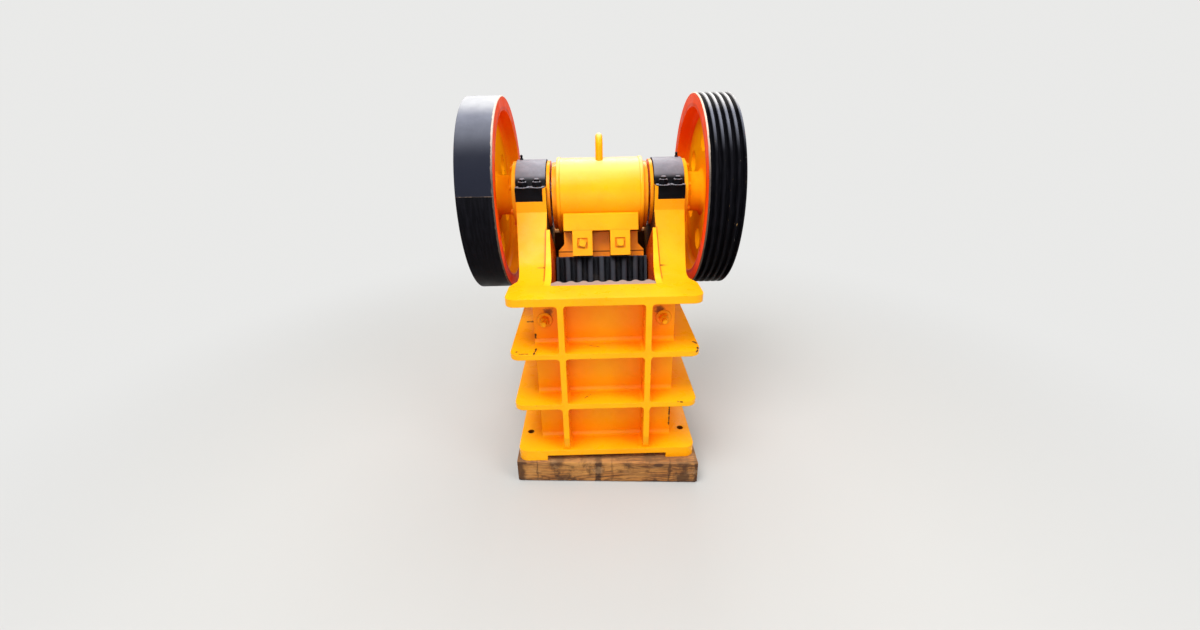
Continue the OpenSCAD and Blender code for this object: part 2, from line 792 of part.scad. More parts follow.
hub_ring(-1);  // hub_ring_left
hub_ring(1);  // hub_ring_right
swing_jaw();
pitman_bearing(-1);  // pitman_bearing_left
pitman_bearing(1);  // pitman_bearing_right
barrel_cover(-1);  // barrel_cover_left
barrel_cover(1);  // barrel_cover_right
moving_jaw_plate();
clamp_bar();
clamp_lug(-1);  // clamp_lug_left
clamp_lug(1);  // clamp_lug_right
lifting_eye();
toggle_plate();
toggle_block();
shim_pack();
tension_rod();
tension_spring();
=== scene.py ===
import math
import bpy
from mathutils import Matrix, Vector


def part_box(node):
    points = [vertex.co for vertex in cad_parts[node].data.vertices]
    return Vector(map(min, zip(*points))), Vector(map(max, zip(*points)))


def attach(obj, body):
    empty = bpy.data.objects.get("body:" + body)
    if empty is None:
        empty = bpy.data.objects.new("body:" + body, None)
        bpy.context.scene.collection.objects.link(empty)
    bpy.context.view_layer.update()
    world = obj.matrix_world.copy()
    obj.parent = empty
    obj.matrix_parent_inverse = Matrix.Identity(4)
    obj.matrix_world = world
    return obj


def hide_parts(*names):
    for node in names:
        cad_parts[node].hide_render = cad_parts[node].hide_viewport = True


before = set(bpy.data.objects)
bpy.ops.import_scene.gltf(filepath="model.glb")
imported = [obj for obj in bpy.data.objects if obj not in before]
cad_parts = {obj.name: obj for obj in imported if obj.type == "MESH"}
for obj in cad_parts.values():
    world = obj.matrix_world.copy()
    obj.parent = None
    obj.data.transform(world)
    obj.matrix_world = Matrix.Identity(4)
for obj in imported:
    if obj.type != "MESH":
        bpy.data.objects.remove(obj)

from fnmatch import fnmatch

import bpy
import numpy as np
from bpy.props import FloatProperty, FloatVectorProperty, IntProperty, PointerProperty
from mathutils import Matrix, Vector

bl_info = {
    "name": "Jaw crusher finish",
    "version": (1, 0, 0),
    "blender": (4, 5, 0),
    "location": "3D View > Sidebar > Crusher",
    "description": "Paints the castings of a jaw crusher and adds its bolts, fillets, spring and bearers",
    "category": "Object",
}

# Places
# Read from the solids at rest, in metres, with +Z up and the feed front at -Y.
# Frame: the front wall stands behind the shelves, which divide it into three bays.
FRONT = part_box("front_frame")[0].y
BASE_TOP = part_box("base_flange")[1].z
FEED_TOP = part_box("front_frame")[1].z
BAY = (FEED_TOP - BASE_TOP) / 3
WALL = FRONT + 0.108
WALL_HALF = 0.278
RIB_MIDDLE = 0.164
RIB_HALF = 0.0115
INSIDE = 0.2345
CHEEK_OUT = 0.2335
CHEEK_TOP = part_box("cheek_plate_left")[1].z
REAR_IN = FRONT + 0.85
REAR_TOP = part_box("rear_frame")[1].z
HOLES = [(side * 0.331, FRONT + back) for side in (-1, 1) for back in (0.135, 0.825)]
HOLE_R = 0.014
# Shaft and bearings: the barrel hangs on the eccentric, which points down at rest.
SHAFT_Y = (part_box("main_bearing_right")[0].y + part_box("main_bearing_right")[1].y) / 2
SHAFT_Z = (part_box("main_bearing_right")[0].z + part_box("main_bearing_right")[1].z) / 2
THROW = 0.01
BARREL_Z = SHAFT_Z - THROW
BARREL_R = 0.168
BARREL_HALF = 0.19
COVER_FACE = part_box("barrel_cover_right")[1].x
CAP_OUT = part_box("outer_cover_right")[0].x + 0.012
OUTER_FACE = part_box("outer_cover_right")[1].x
CAP_FOOT_TOP = SHAFT_Z + 0.057
# Flywheels: radius, the rim's two sides and its thickness, and the hub's face.
WHEEL_R = 0.419
WHEEL_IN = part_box("grooved_flywheel_rim")[0].x
WHEEL_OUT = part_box("grooved_flywheel_rim")[1].x
RIM = 0.058
HUB_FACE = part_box("hub_ring_right")[1].x
# Swing jaw: the crest line of its plate leans back from the lower end.
JAW_TILT = math.atan2(0.206, 0.6)
CREST_Y = FRONT + 0.224
CREST_Z = BASE_TOP + 0.111
JAW_LENGTH = math.hypot(0.206, 0.6)
JAW_OUT = np.array([0, -math.cos(JAW_TILT), math.sin(JAW_TILT)])
SIDES = ((-1, "left"), (1, "right"))


# Shapes
def grid(xyz, around=True, closed=False, cap=True):
    """Points and faces of a grid of points, shape (rows, columns, 3).
    A quad joins point (i, j) to (i+1, j) and (i, j+1). Columns wrap where around is set, rows where closed is set,
    or else the first and last row each get one flat face. The faces are turned so that the volume is positive."""
    rows, cols = xyz.shape[:2]
    i = np.arange(rows if closed else rows - 1)
    j = np.arange(cols if around else cols - 1)
    i, j = (a.ravel() for a in np.meshgrid(i, j, indexing="ij"))
    i2, j2 = (i + 1) % rows, (j + 1) % cols
    quads = np.stack([i * cols + j, i2 * cols + j, i2 * cols + j2, i * cols + j2], 1)
    points = xyz.reshape(-1, 3)
    a, b, c, d = (points[quads[:, k]] for k in range(4))
    centre = points.mean(0)
    a, b, c, d = a - centre, b - centre, c - centre, d - centre
    volume = np.sum(a * np.cross(b, c)) + np.sum(a * np.cross(c, d))
    faces = quads.tolist()
    if cap and not closed:
        faces += [list(range(cols))[::-1], list(range((rows - 1) * cols, rows * cols))]
    if volume < 0:
        faces = [f[::-1] for f in faces]
    return points, faces


def placed(name, data):
    """A new object in the scene, at the origin."""
    o = bpy.data.objects.new(name, data)
    bpy.context.scene.collection.objects.link(o)
    return o


def smooth(name, points, faces, material):
    """A smooth mesh object with one material."""
    mesh = bpy.data.meshes.new(name)
    mesh.from_pydata(points.tolist(), [], faces)
    mesh.polygons.foreach_set("use_smooth", np.ones(len(mesh.polygons), bool))
    mesh.materials.append(material)
    return placed(name, mesh)


def piece(name, parts, body, finish_name, sharp=35):
    """One mesh object from several grids, which rides on a body. Edges bent by more than sharp degrees stay
    crisp."""
    points, faces, first = [], [], 0
    for p, f in parts:
        points.append(p)
        faces += [[k + first for k in face] for face in f]
        first += len(p)
    o = smooth(name, np.concatenate(points), faces, FINISHES[finish_name])
    o.data.validate()
    o.data.set_sharp_from_angle(angle=math.radians(sharp))
    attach(o, body)
    return o


def axes(direction):
    """Two unit vectors square to a direction, and the direction itself."""
    d = np.array(direction, float)
    d /= np.linalg.norm(d)
    side = np.array([1.0, 0, 0]) if abs(d[0]) < 0.9 else np.array([0, 0, 1.0])
    e1 = side - d * (side @ d)
    e1 /= np.linalg.norm(e1)
    return e1, np.cross(d, e1), d


def circle(count):
    """Equal angles once round."""
    return np.linspace(0, 2 * np.pi, count, endpoint=False)


def lathe(profile, centre, direction, segments=48, closed=False, radius_of=None):
    """A profile of (radius, along) turned about an axis.
    Point (i, j) = centre + along_i * d + r(i, j) * (cos t_j * e1 + sin t_j * e2), with t_j = 2 pi j / segments;
    r is the profile's radius, or what radius_of(radius, angle) makes of it."""
    e1, e2, d = axes(direction)
    p = np.array(profile, float)
    t = circle(segments)
    r = np.repeat(p[:, :1], segments, 1)
    if radius_of is not None:
        r = radius_of(r, t[None, :])
    ring = np.cos(t)[None, :, None] * e1 + np.sin(t)[None, :, None] * e2
    return grid(np.array(centre, float) + p[:, 1, None, None] * d + r[..., None] * ring, closed=closed)


def polygon_radius(sides, turn, limits):
    """Turns a flat radius into that of a prism with the given number of sides, cut by a round chamfer:
    r(t) = min(limit, r * cos(pi / n) / cos((t + turn) mod (2 pi / n) - pi / n))."""
    def shape(r, t):
        side = 2 * np.pi / sides
        flat = r * np.cos(side / 2) / np.cos((t + turn) % side - side / 2)
        return np.minimum(flat, np.array(limits)[:, None])
    return shape


def bolt(seat, direction, across, head, washer=True, sides=6, stub=0.0, turn=0.0):
    """A bolt head or nut on its washer: the seat is the middle of the underside, across is the width over the flats.
    The head is a lathe whose radius follows its sides, drawn in at the corners by a cone. A stub is the bolt's end
    that stands out of a nut."""
    seat, (_, _, d) = np.array(seat, float), axes(direction)
    corner, flat = across / 2 / math.cos(math.pi / sides), across / 2
    parts, base = [], 0.0
    if washer:
        w, base = across * 0.92, across * 0.1
        parts.append(lathe([(w * 0.96, -0.0005), (w, base * 0.25), (w, base * 0.8), (w * 0.96, base)], seat, d, 40))
    limits = [corner * 0.99, corner * 1.01, corner * 1.01, (corner + flat) / 2, flat * 0.93]
    rows = [(corner, base + head * up) for up in (0, 0.06, 0.78, 0.93, 1)]
    parts.append(lathe(rows, seat, d, 72, radius_of=polygon_radius(sides, turn, limits)))
    if stub > 0:
        r, top = across * 0.33, base + head
        parts.append(lathe([(r, top - 0.001), (r, top + stub - r * 0.22), (r * 0.8, top + stub)], seat, d, 32))
    return parts


def run(outline, start, end, up, steps=2):
    """An outline of (side, up) carried straight from start to end.
    Point (i, j) = start + i / (steps - 1) * (end - start) + side_j * s + up_j * u, where u is the given direction
    and s = u x run."""
    start, end, u = (np.array(v, float) for v in (start, end, up))
    way = end - start
    s = np.cross(u, way / np.linalg.norm(way))
    o = np.array(outline, float)
    f = np.linspace(0, 1, steps)[:, None, None]
    return grid(start + f * way + o[None, :, :1] * s + o[None, :, 1:] * u)


def coil(centre, direction, along, r, turns, wire, sides=12):
    """A round wire wound about an axis.
    The middle of the wire is centre + along(t) d + r (cos a e1 + sin a e2) with a = 2 pi turns t, and each ring of
    points is wire * (cos b n + sin b m), where n points away from the axis and m is square to n and to the wire's
    direction."""
    e1, e2, d = axes(direction)
    a = 2 * np.pi * turns * np.linspace(0, 1, len(along))
    out = np.cos(a)[:, None] * e1 + np.sin(a)[:, None] * e2
    middle = np.array(centre, float) + along[:, None] * d + r * out
    tangent = np.gradient(middle, axis=0)
    tangent /= np.linalg.norm(tangent, axis=1)[:, None]
    side = np.cross(tangent, out)
    side /= np.linalg.norm(side, axis=1)[:, None]
    b = circle(sides)
    ring = np.cos(b)[None, :, None] * out[:, None] + np.sin(b)[None, :, None] * side[:, None]
    return grid(middle[:, None] + wire * ring)


def waves(p, seed, scale, count=9):
    """A smooth unevenness between about -1 and 1: the mean of sines of dot(p, k) + phase, with seeded random
    directions k of the given scale."""
    rng = np.random.default_rng(seed)
    k = rng.normal(size=(count, 3)) * scale
    phase = rng.uniform(0, 2 * np.pi, count)
    return np.sin(p @ k.T + phase).mean(-1) * 1.6


def jaw_point(x, u, v):
    """A point on the swing jaw: x across, u up along the jaw face, v behind its crest line."""
    return np.array([x, CREST_Y + u * math.sin(JAW_TILT) + v * math.cos(JAW_TILT),
                     CREST_Z + u * math.cos(JAW_TILT) - v * math.sin(JAW_TILT)])


# Finishes
class Wire:
    """One output of a shader node. Plain arithmetic on wires adds Math nodes to the same tree."""

    def __init__(self, socket):
        self.socket, self.tree = socket, socket.id_data

    def math(self, what, *others):
        return put(self, "Math", dict(enumerate((self, *others))), operation=what)

    def __add__(self, other):
        return self.math("ADD", other)

    def __sub__(self, other):
        return self.math("SUBTRACT", other)

    def __rsub__(self, other):
        return put(self, "Math", {0: other, 1: self}, operation="SUBTRACT")

    def __mul__(self, other):
        return self.math("MULTIPLY", other)

    def __abs__(self):
        return self.math("ABSOLUTE")


def make(tree, kind, values=None, **settings):
    """A shader node in a tree, or in the tree of a wire, with its settings and its sockets set or linked. Values of
    None leave a socket as it is."""
    tree = getattr(tree, "tree", tree)
    node = tree.nodes.new("ShaderNode" + kind)
    for key, value in settings.items():
        setattr(node, key, value)
    for key, value in (values or {}).items():
        if isinstance(value, Wire):
            tree.links.new(value.socket, node.inputs[key])
        elif value is not None:
            colour = node.inputs[key].type == "RGBA"
            node.inputs[key].default_value = (*value[:3], 1) if colour else value
    return node


def put(tree, kind, values=None, output=0, **settings):
    """A new node's output."""
    return Wire(make(tree, kind, values, **settings).outputs[output])


def most(a, b):
    return a.math("MAXIMUM", b)


def scaled(a, factor, plus):
    return a.math("MULTIPLY_ADD", factor, plus)


def step(value, low, high, to_low=0.0, to_high=1.0):
    """A soft step: to_low below low and to_high above high."""
    limits = {"From Min": low, "From Max": high, "To Min": to_low, "To Max": to_high}
    return put(value, "MapRange", {"Value": value, **limits}, interpolation_type="SMOOTHSTEP")


def near(value, place, full, none):
    """1 where a value is within full of a place, 0 where it is further off than none."""
    return step(abs(value - place), none, full)


def tint(amount, a, b):
    """Colour a turned into colour b by an amount."""
    return put(amount, "Mix", {0: amount, 6: a, 7: b}, 2, data_type="RGBA")


def noise(at, scale, detail=3.0, rough=0.55):
    return put(at, "TexNoise", {"Vector": at, "Scale": scale, "Detail": detail, "Roughness": rough})


def stretched(at, scale):
    return put(at, "Mapping", {"Vector": at, "Scale": scale})


def split(at):
    return [Wire(part) for part in make(at, "SeparateXYZ", {0: at}).outputs]


def vector(what, a, b=None, scale=None):
    """A Vector Math node's result."""
    output = 1 if what in ("DOT_PRODUCT", "LENGTH", "DISTANCE") else 0
    beside = a if isinstance(a, Wire) else scale
    return put(beside, "VectorMath", {0: a, 1: b, "Scale": scale}, output, operation=what)


def joined(x, y, z=0.0):
    return put(x, "CombineXYZ", {0: x, 1: y, 2: z})


def facing(at):
    """The true normal of the face."""
    return put(at, "NewGeometry", output="Normal")


def upward(at):
    """How far the face looks up: 1 for a level top, 0 for an upright side."""
    return split(facing(at))[2]


def edge_wear(at, radius):
    """(rounded normal, how near an outer edge). The second is the share of short rays into the metal that come out
    through a neighbouring face, so hollow corners don't wear."""
    soft = put(at, "Bevel", {"Radius": radius}, samples=4)
    inside = put(at, "AmbientOcclusion", {"Distance": radius * 1.6}, "AO", samples=4, inside=True, only_local=True)
    return soft, step(inside, 0.95, 0.6)


def hollow(at, reach):
    """How shut in a face is: the share of rays out of it that hit something within reach."""
    return 1.0 - put(at, "AmbientOcclusion", {"Distance": reach}, "AO", samples=4)


def length(a, b):
    return (a * a + b * b).math("SQRT")


def shaft_radius(at):
    """Distance from the shaft's middle line."""
    _, y, z = split(at)
    return length(y - SHAFT_Y, z - SHAFT_Z)


def scratch(at, a, b, width):
    """1 on a thin ragged line from a to b: the distance from the segment is |p - a - h (b - a)| with
    h = clamp(dot(p - a, b - a) / |b - a|^2)."""
    ab = np.array(b) - np.array(a)
    pa = vector("SUBTRACT", at, a)
    h = put(at, "Clamp", {"Value": vector("DOT_PRODUCT", pa, tuple(ab / (ab @ ab)))})
    off = vector("LENGTH", vector("SUBTRACT", pa, vector("SCALE", tuple(ab), scale=h)))
    ragged = scaled(noise(at, 95, 4), width * 3.6, -width * 1.8)
    return step(off + ragged, width * 1.3, width * 0.4)


FINISHES = {}


def bare(owner):
    """The empty node tree of a material or world."""
    owner.use_nodes = True
    owner.node_tree.nodes.clear()
    return owner.node_tree


def surface(name):
    """A new node material and its Object coordinates."""
    FINISHES[name] = bpy.data.materials.new(name)
    return FINISHES[name], put(bare(FINISHES[name]), "TexCoord", output="Object")


def dented(height, strength, distance, normal=None):
    return put(height, "Bump",
               {"Height": height, "Normal": normal, "Strength": strength, "Distance": distance})


def finish(colour, rough, normal, specular=0.5, metal=0.0):
    """The shader that ends a finish."""
    shader = put(colour, "BsdfPrincipled", {
        "Base Color": colour, "Roughness": rough, "Normal": normal, "Metallic": metal,
        "Specular IOR Level": specular})
    make(colour, "OutputMaterial", {"Surface": shader})


def enamel(name, colour, deep, thick, chips=1.0, scratches=(), stains=(), pooled=0.85, grime=None, calm=(), seams=(),
           holes=(), sideways=None, under=None, bleached=0.0, gloss=0.15):
    """Thick gloss enamel over a sand casting: slow changes of tone, thin runs, soft dimples, dust on upward faces,
    chips down to dark metal near the outer edges, and any named scratches and dark patches. Hollows take a deeper
    orange as painted shade. Faces deep inside the frame that are shut in enough, between the given limits, are
    painted nearly black as shade, and stone dust on the ledge over the rear wall is as dark. No chips gather at the
    calm heights and at the seams, given by their distance from the middle. Faces that look to the side may take
    their own colour as painted shade, and so may the low half of the barrel's ends, the covers and the hubs. The
    barrel's top may pale by a given amount as a painted highlight."""
    material, at = surface(name)
    soft, edge = edge_wear(at, 0.003)
    x, y, z = split(at)
    true_normal = facing(at)
    aside, ahead, up = split(true_normal)
    across = abs(x)
    for value, places in ((z, calm), (across, seams)):
        for place in places:
            away = step(abs(value - place), 0.0045, 0.0075)
            edge = edge * away
            soft = put(at, "Mix", {0: away, 4: true_normal, 5: soft}, 1, data_type="VECTOR")
    base = tint(step(noise(at, 5.5, 4), 0.36, 0.74), colour, deep)
    # painted shade: the hollows take a deeper orange
    base = tint(step(hollow(at, 0.14), 0.1, 0.75, 0, pooled), base, thick)
    if sideways:
        # painted shade: faces that look to the side take their own, darker colour
        base = tint(step(abs(aside), 0.5, 0.8), base, sideways)
    if under:
        # painted shade: the low half of the barrel's ends, the covers and the hubs turns a deeper red
        low = step(z, SHAFT_Z - 0.005, SHAFT_Z - 0.12, 0, 0.85)
        low = low * step(across, BARREL_HALF - 0.02, BARREL_HALF - 0.008)
        base = tint(low * step(shaft_radius(at), BARREL_R + 0.022, BARREL_R + 0.016), base, under)
    base = tint(step(noise(stretched(at, (34, 34, 3.2)), 1.0, 4), 0.52, 0.8, 0, 0.35), base, deep)
    base = tint(step(noise(at, 240, 2), 0.7, 0.8, 0, 0.35), base, deep)
    if bleached:
        # painted highlight: the barrel's top pales to cream where it would reflect the sky
        pale = step(up, 0.5, 1.0, 0, bleached) * step(z, SHAFT_Z + 0.02, SHAFT_Z + 0.05)
        base = tint(pale, base, (1.0, 0.8, 0.3))
    grit = step(noise(at, 17, 6, 0.7), 0.52, 0.78) * step(up, 0.2, 0.9)
    base = tint(grit * 0.12, base, (0.34, 0.17, 0.05))
    flake = step(noise(at, 62, 5, 0.62) + edge * (0.1 * chips), 0.705, 0.735)
    flake = flake * step(noise(at, 3.1, 2), 0.46, 0.6) * step(edge, 0.02, 0.3, 0.3, 1.0)
    for a, b, width in scratches:
        flake = most(flake, scratch(at, a, b, width))
    base = tint(flake, base, (0.05, 0.02, 0.008))
    for place, radius in stains:
        away = vector("DISTANCE", at, place) + scaled(noise(at, 55, 4, 0.6), radius * 1.5, -radius * 0.75)
        base = tint(step(away, radius, radius * 0.35, 0, 0.85), base, (0.13, 0.03, 0.004))
    rough = step(noise(at, 21, 4), 0.3, 0.75, 0.24, 0.4) + flake * 0.35 + grit * 0.1
    if grime:
        # painted shade: faces shut in deep inside the frame go nearly black
        shut_in = step(hollow(at, 0.4), *grime) * step(across, INSIDE + 0.001, INSIDE - 0.001)
        shut_in = shut_in * step(y, WALL + 0.02, WALL + 0.035) * step(y, REAR_IN + 0.004, REAR_IN + 0.001)
        # the front of the jaw is left out of this painted shade
        shut_in = shut_in * most(step(ahead, -0.75, -0.4), step(y, 0.1, 0.14))
        # stone dust lies on the ledge over the rear wall
        drift = scaled(noise(at, 22, 5, 0.65), 0.07, -0.035)
        ledge = near(z, REAR_TOP, 0.001, 0.004) * step(y + drift, REAR_IN + 0.085, REAR_IN + 0.03)
        shut_in = most(shut_in, ledge * step(across + drift, 0.275, 0.235, 0, 0.85))
        # the painted shade and the stone dust on the ledge both go nearly black
        base = tint(shut_in * 0.93, base, (0.02, 0.01, 0.006))
        rough = scaled(shut_in, 0.6, rough).math("MINIMUM", 1.0)
        # a painted shadow line along the outer side of the cheek plates
        joint = near(across, CHEEK_OUT + 0.003, 0.002, 0.004) * step(z, CHEEK_TOP + 0.002, CHEEK_TOP - 0.002)
        joint = joint * step(z, FEED_TOP + 0.001, FEED_TOP + 0.003) * step(y, SHAFT_Y + 0.01, SHAFT_Y - 0.01)
        base = tint(joint * 0.75, base, (0.45, 0.085, 0.002))
    for hx, hy in holes:
        # painted shade down the bolt holes of the foot
        bore = step(vector("DISTANCE", joined(x, y), (hx, hy, 0)), HOLE_R + 0.004, HOLE_R + 0.001)
        base = tint(bore * step(z, BASE_TOP - 0.001, BASE_TOP - 0.003) * 0.9, base, (0.05, 0.016, 0.004))
    dimple = scaled(noise(at, 38, 3), 0.55, noise(at, 150, 3) * 0.22) - flake * 0.5
    finish(base, rough, dented(dimple, 0.35, 0.0022, soft), gloss)
    return material


def rim_enamel(name, inner_face, colour, red, inner, black, bead, lapped, turn):
    """Flywheel rim: black tread that turns grey and then nearly white on top as a painted sky reflection, red-orange
    side rings that are deeper towards the inner side, and a ragged pale line where they meet, a painted highlight
    that grows towards the top. Near the top the rim's inner face is lightened as painted light. All is set by the
    distance r from the tread, the height z over the shaft line, and how far x lies from the inner rim face."""
    material, at = surface(name)
    soft, edge = edge_wear(at, 0.0025)
    r = shaft_radius(at) - WHEEL_R
    x, _, z = split(at)
    x, z = abs(x), z - SHAFT_Z
    in_from = x - inner_face
    ragged = (noise(at, 45, 4) - 0.5) * 0.01
    groove = step(r, -0.026, -0.022) * step(in_from, 0.0035, 0.0045)
    groove = groove * (1.0 - step(x, WHEEL_OUT - 0.0035, WHEEL_OUT - 0.0025))
    dark = most(step(r + ragged * 0.5, -0.0042, -0.003), groove)
    # painted light: near the top the rim's inner face is a red much lighter than the inner colour, and lower down it
    # takes the web's orange
    side = tint(step(z + ragged * 9.0, turn, turn - 0.36), tuple(min(v * 1.7, 0.98) for v in inner), colour)
    side = tint(step(r, 0.001 - RIM, 0.006 - RIM), side, inner)
    side = tint(step(r + ragged * 1.2, -0.047, -0.038), side, red)
    tone = tint(step(noise(stretched(at, (26, 3, 3)), 5, 4), 0.3, 0.8), black, tuple(v * 2.6 for v in black))
    # an older, greyer coat shows over the part of the tread that a painter reaches from above
    lap = z - 0.066 + ragged * 0.35
    tone = tint(step(lap, -0.001, 0.001) * (0.9 * lapped), tone, (0.016, 0.018, 0.029))
    # painted sky reflection: the tread's lands turn grey and then nearly white towards the top
    patchy = step(noise(at, 9, 5, 0.6), 0.15, 0.75, 0.65, 1.0)
    land = step(r, -0.006, -0.003)
    tone = tint(step(z, 0.2, 0.37, 0, 0.92) * patchy * land, tone, (0.21, 0.22, 0.27))
    white = step(z, 0.34, 0.41) * patchy * scaled(land, 0.75, 0.1)
    tone = tint(white, tone, (0.62, 0.62, 0.63) if lapped else (0.7, 0.68, 0.66))
    seam = near(lap, 0.0, 0.0006, 0.0016) * step(noise(at, 60, 3), 0.4, 0.6, 0.15, 0.6)
    tone = tint(seam * lapped, tone, (0.24, 0.17, 0.13))
    rub = step(noise(at, 75, 5, 0.65) + edge * 0.1, 0.73, 0.76)
    tone = tint(rub * 0.6, tone, (0.22, 0.19, 0.16))
    # painted highlight: a ragged pale line along the tread's inner edge, strongest near the top
    spray = step(in_from + ragged, 0.0085, 0.0045) * step(r, -0.012, -0.006)
    tone = tint(spray * step(z, 0.1, 0.33, 0.12, bead), tone, (0.78, 0.62, 0.5))
    chip = step(noise(at, 58, 4) + edge * 0.13, 0.755, 0.775) * step(noise(at, 4, 2), 0.5, 0.6)
    base = tint(chip, tint(dark, side, tone), (0.62, 0.4, 0.16))
    height = scaled(noise(at, 30, 4), 0.5, noise(at, 190, 3) * 0.2)
    finish(base, step(noise(at, 12, 5), 0.3, 0.75, 0.3, 0.48), dented(height, 0.22, 0.002, soft), 0.02)
    return material


def timber(name, shift, smears, knots):
    """Sawn softwood, flat-sawn along X: growth rings as waves about a line under the beam, small knots, dark water
    stains, drying cracks and saw marks. Smears are (x, half width, depth) of dark bands across the beam, knots are
    (x, z, radius) on its front face."""
    material, at = surface(name)
    x, _, z = split(at)
    moved = put(at, "Mapping", {"Vector": at, "Location": shift})

    def along(stretch, *look):
        return noise(stretched(moved, stretch), *look)

    warp = along((1.6, 9, 9), 1.4, 4)
    bent = vector("SCALE", joined(warp, warp, warp), scale=0.11)
    rings = put(at, "TexWave",
                {"Vector": vector("ADD", stretched(moved, (0.1, 1, 1)), bent), "Scale": 26, "Distortion": 2.2,
                 "Detail": 3, "Detail Scale": 1.6}, 1, wave_type="RINGS", rings_direction="X")
    fibre = along((4, 150, 150), 2.2, 5, 0.7)
    broad = along((6, 20, 20), 1.0, 4, 0.6)
    base = tint(step(rings, 0.15, 0.85), (0.42, 0.16, 0.03), (0.13, 0.04, 0.008))
    base = tint(step(broad, 0.42, 0.76, 0, 0.8), base, (0.62, 0.295, 0.072))
    base = tint(step(fibre, 0.35, 0.75, 0, 0.45), base, (0.42, 0.21, 0.085))
    for kx, kz, radius in knots:
        away = length(x - kx, (z - kz) * 1.35) + scaled(broad, 0.01, fibre * 0.006)
        waved = scaled((away * 1500.0).math("SINE"), 0.5, 0.5)
        eye = step(away, radius * 1.5 + 0.006, radius * 0.7 + 0.006)
        base = tint(eye * scaled(waved, 0.35, 0.45), base, (0.085, 0.03, 0.01))
        base = tint(step(away, radius * 0.55 + 0.006, radius * 0.25 + 0.006, 0, 0.9), base, (0.035, 0.014, 0.006))
    cells = {"Vector": stretched(moved, (4.6, 11, 11)), "Scale": 1.0}
    knot = put(at, "TexVoronoi", cells, "Distance")
    base = tint(step(knot, 0.13, 0.07), base, (0.085, 0.034, 0.014))
    base = tint(step(along((7, 5, 5), 1.5, 6, 0.66), 0.46, 0.6) * 0.85, base, (0.06, 0.025, 0.011))
    wander = scaled(along((30, 14, 17), 1.6, 6, 0.68), 0.06, -0.03)
    for place, half, depth in smears:
        off = abs(x - place + wander * min(1.0, half * 90))
        base = tint(step(off, half * 1.15, half * 0.3, 0, depth), base, (0.05, 0.019, 0.008))
    base = tint(step(along((9, 14, 14), 1.1, 4), 0.58, 0.72) * 0.3, base, (0.6, 0.36, 0.17))
    # long water streaks along the grain
    base = tint(step(along((1.5, 26, 26), 1.3, 5, 0.6), 0.5, 0.66) * 0.65, base, (0.075, 0.03, 0.012))
    crack = step(along((2.4, 60, 60), 1.3, 3), 0.675, 0.7)
    base = tint(crack, base, (0.03, 0.013, 0.006))
    base = tint(step(upward(at), 0.35, 0.9) * 0.35, base, (0.42, 0.22, 0.09))
    saw = put(at, "TexWave", {"Vector": moved, "Scale": 55, "Distortion": 1.5, "Detail": 2}, 1,
              bands_direction="X")
    height = fibre * 0.7 + saw * 0.12 - crack * 1.2
    finish(base, step(fibre, 0.3, 0.8, 0.68, 0.88), dented(height, 0.7, 0.003), 0.3)
    return material


def jaw_iron(name, bright):
    """Manganese steel casting dipped in black: grey crests over black valleys as painted highlight and shade, faint
    upright streaks, grey-brown rubbed crests where bright is above 0."""
    material, at = surface(name)
    soft, edge = edge_wear(at, 0.003)
    streak = noise(stretched(at, (60, 6, 4)), 1.6, 5)
    base = tint(step(streak, 0.3, 0.78), (0.0022, 0.0022, 0.003), (0.006, 0.006, 0.008))
    # painted highlight and shade: the crests of the teeth are grey, the valleys black
    base = tint(step(hollow(at, 0.03), 0.2, 0.02, 0, 0.85), base, (0.048, 0.052, 0.064))
    dust = step(noise(at, 20, 6, 0.7), 0.5, 0.8)
    base = tint(dust * (0.12 + 0.5 * bright), base, (0.24, 0.17, 0.12))
    base = tint(step(upward(at), 0.6, 0.95) * bright, base, (0.46, 0.33, 0.27))
    base = tint(edge * 0.45, base, (0.13, 0.14, 0.17))
    height = scaled(noise(at, 45, 5, 0.65), 0.7, noise(at, 260, 2) * 0.25)
    finish(base, step(streak, 0.3, 0.8, 0.38, 0.6), dented(height, 0.5, 0.002, soft), 0.03)
    return material


def steel(name, colour, rough, turned, rust):
    """Bare steel: fine turning lines about the shaft, or a ground face, with oil and rust in patches."""
    material, at = surface(name)
    soft, _ = edge_wear(at, 0.0015)
    lines = noise(joined(split(at)[0], shaft_radius(at)), 900, 2)
    base = tint(step(noise(at, 9, 4), 0.3, 0.7), colour, tuple(v * 0.62 for v in colour))
    spots = step(noise(at, 34, 6, 0.68), 0.56, 0.7)
    base = tint(spots * rust, base, (0.2, 0.075, 0.025))
    height = lines * turned + spots * (0.3 * rust)
    finish(base, step(spots, 0, 1, rough, rough + 0.35), dented(height, 0.3, 0.001, soft), metal=1.0 - spots * rust)
    return material


def wheel_enamel(name, colour, deep, red):
    """Flywheel web: sprayed orange enamel, redder towards the rim and round the holes' edges."""
    material, at = surface(name)
    soft, edge = edge_wear(at, 0.003)
    r = shaft_radius(at)
    base = tint(step(r + (noise(at, 6, 4) - 0.5) * 0.13, 0.24, 0.37), colour, deep)
    base = tint(step(noise(at, 9, 3), 0.55, 0.85, 0, 0.35), base, red)
    dark = step(noise(at, 27, 5, 0.65), 0.62, 0.74) * step(r, 0.16, 0.08, 0.12, 0.45)
    base = tint(dark, base, (0.09, 0.03, 0.012))
    flake = step(noise(at, 64, 5) + edge * 0.1, 0.715, 0.74) * edge
    base = tint(flake, base, (0.04, 0.02, 0.012))
    height = scaled(noise(at, 34, 4), 0.6, noise(at, 170, 3) * 0.25)
    finish(base, step(noise(at, 18, 4), 0.3, 0.75, 0.32, 0.5), dented(height, 0.4, 0.0025, soft), 0.0)
    return material


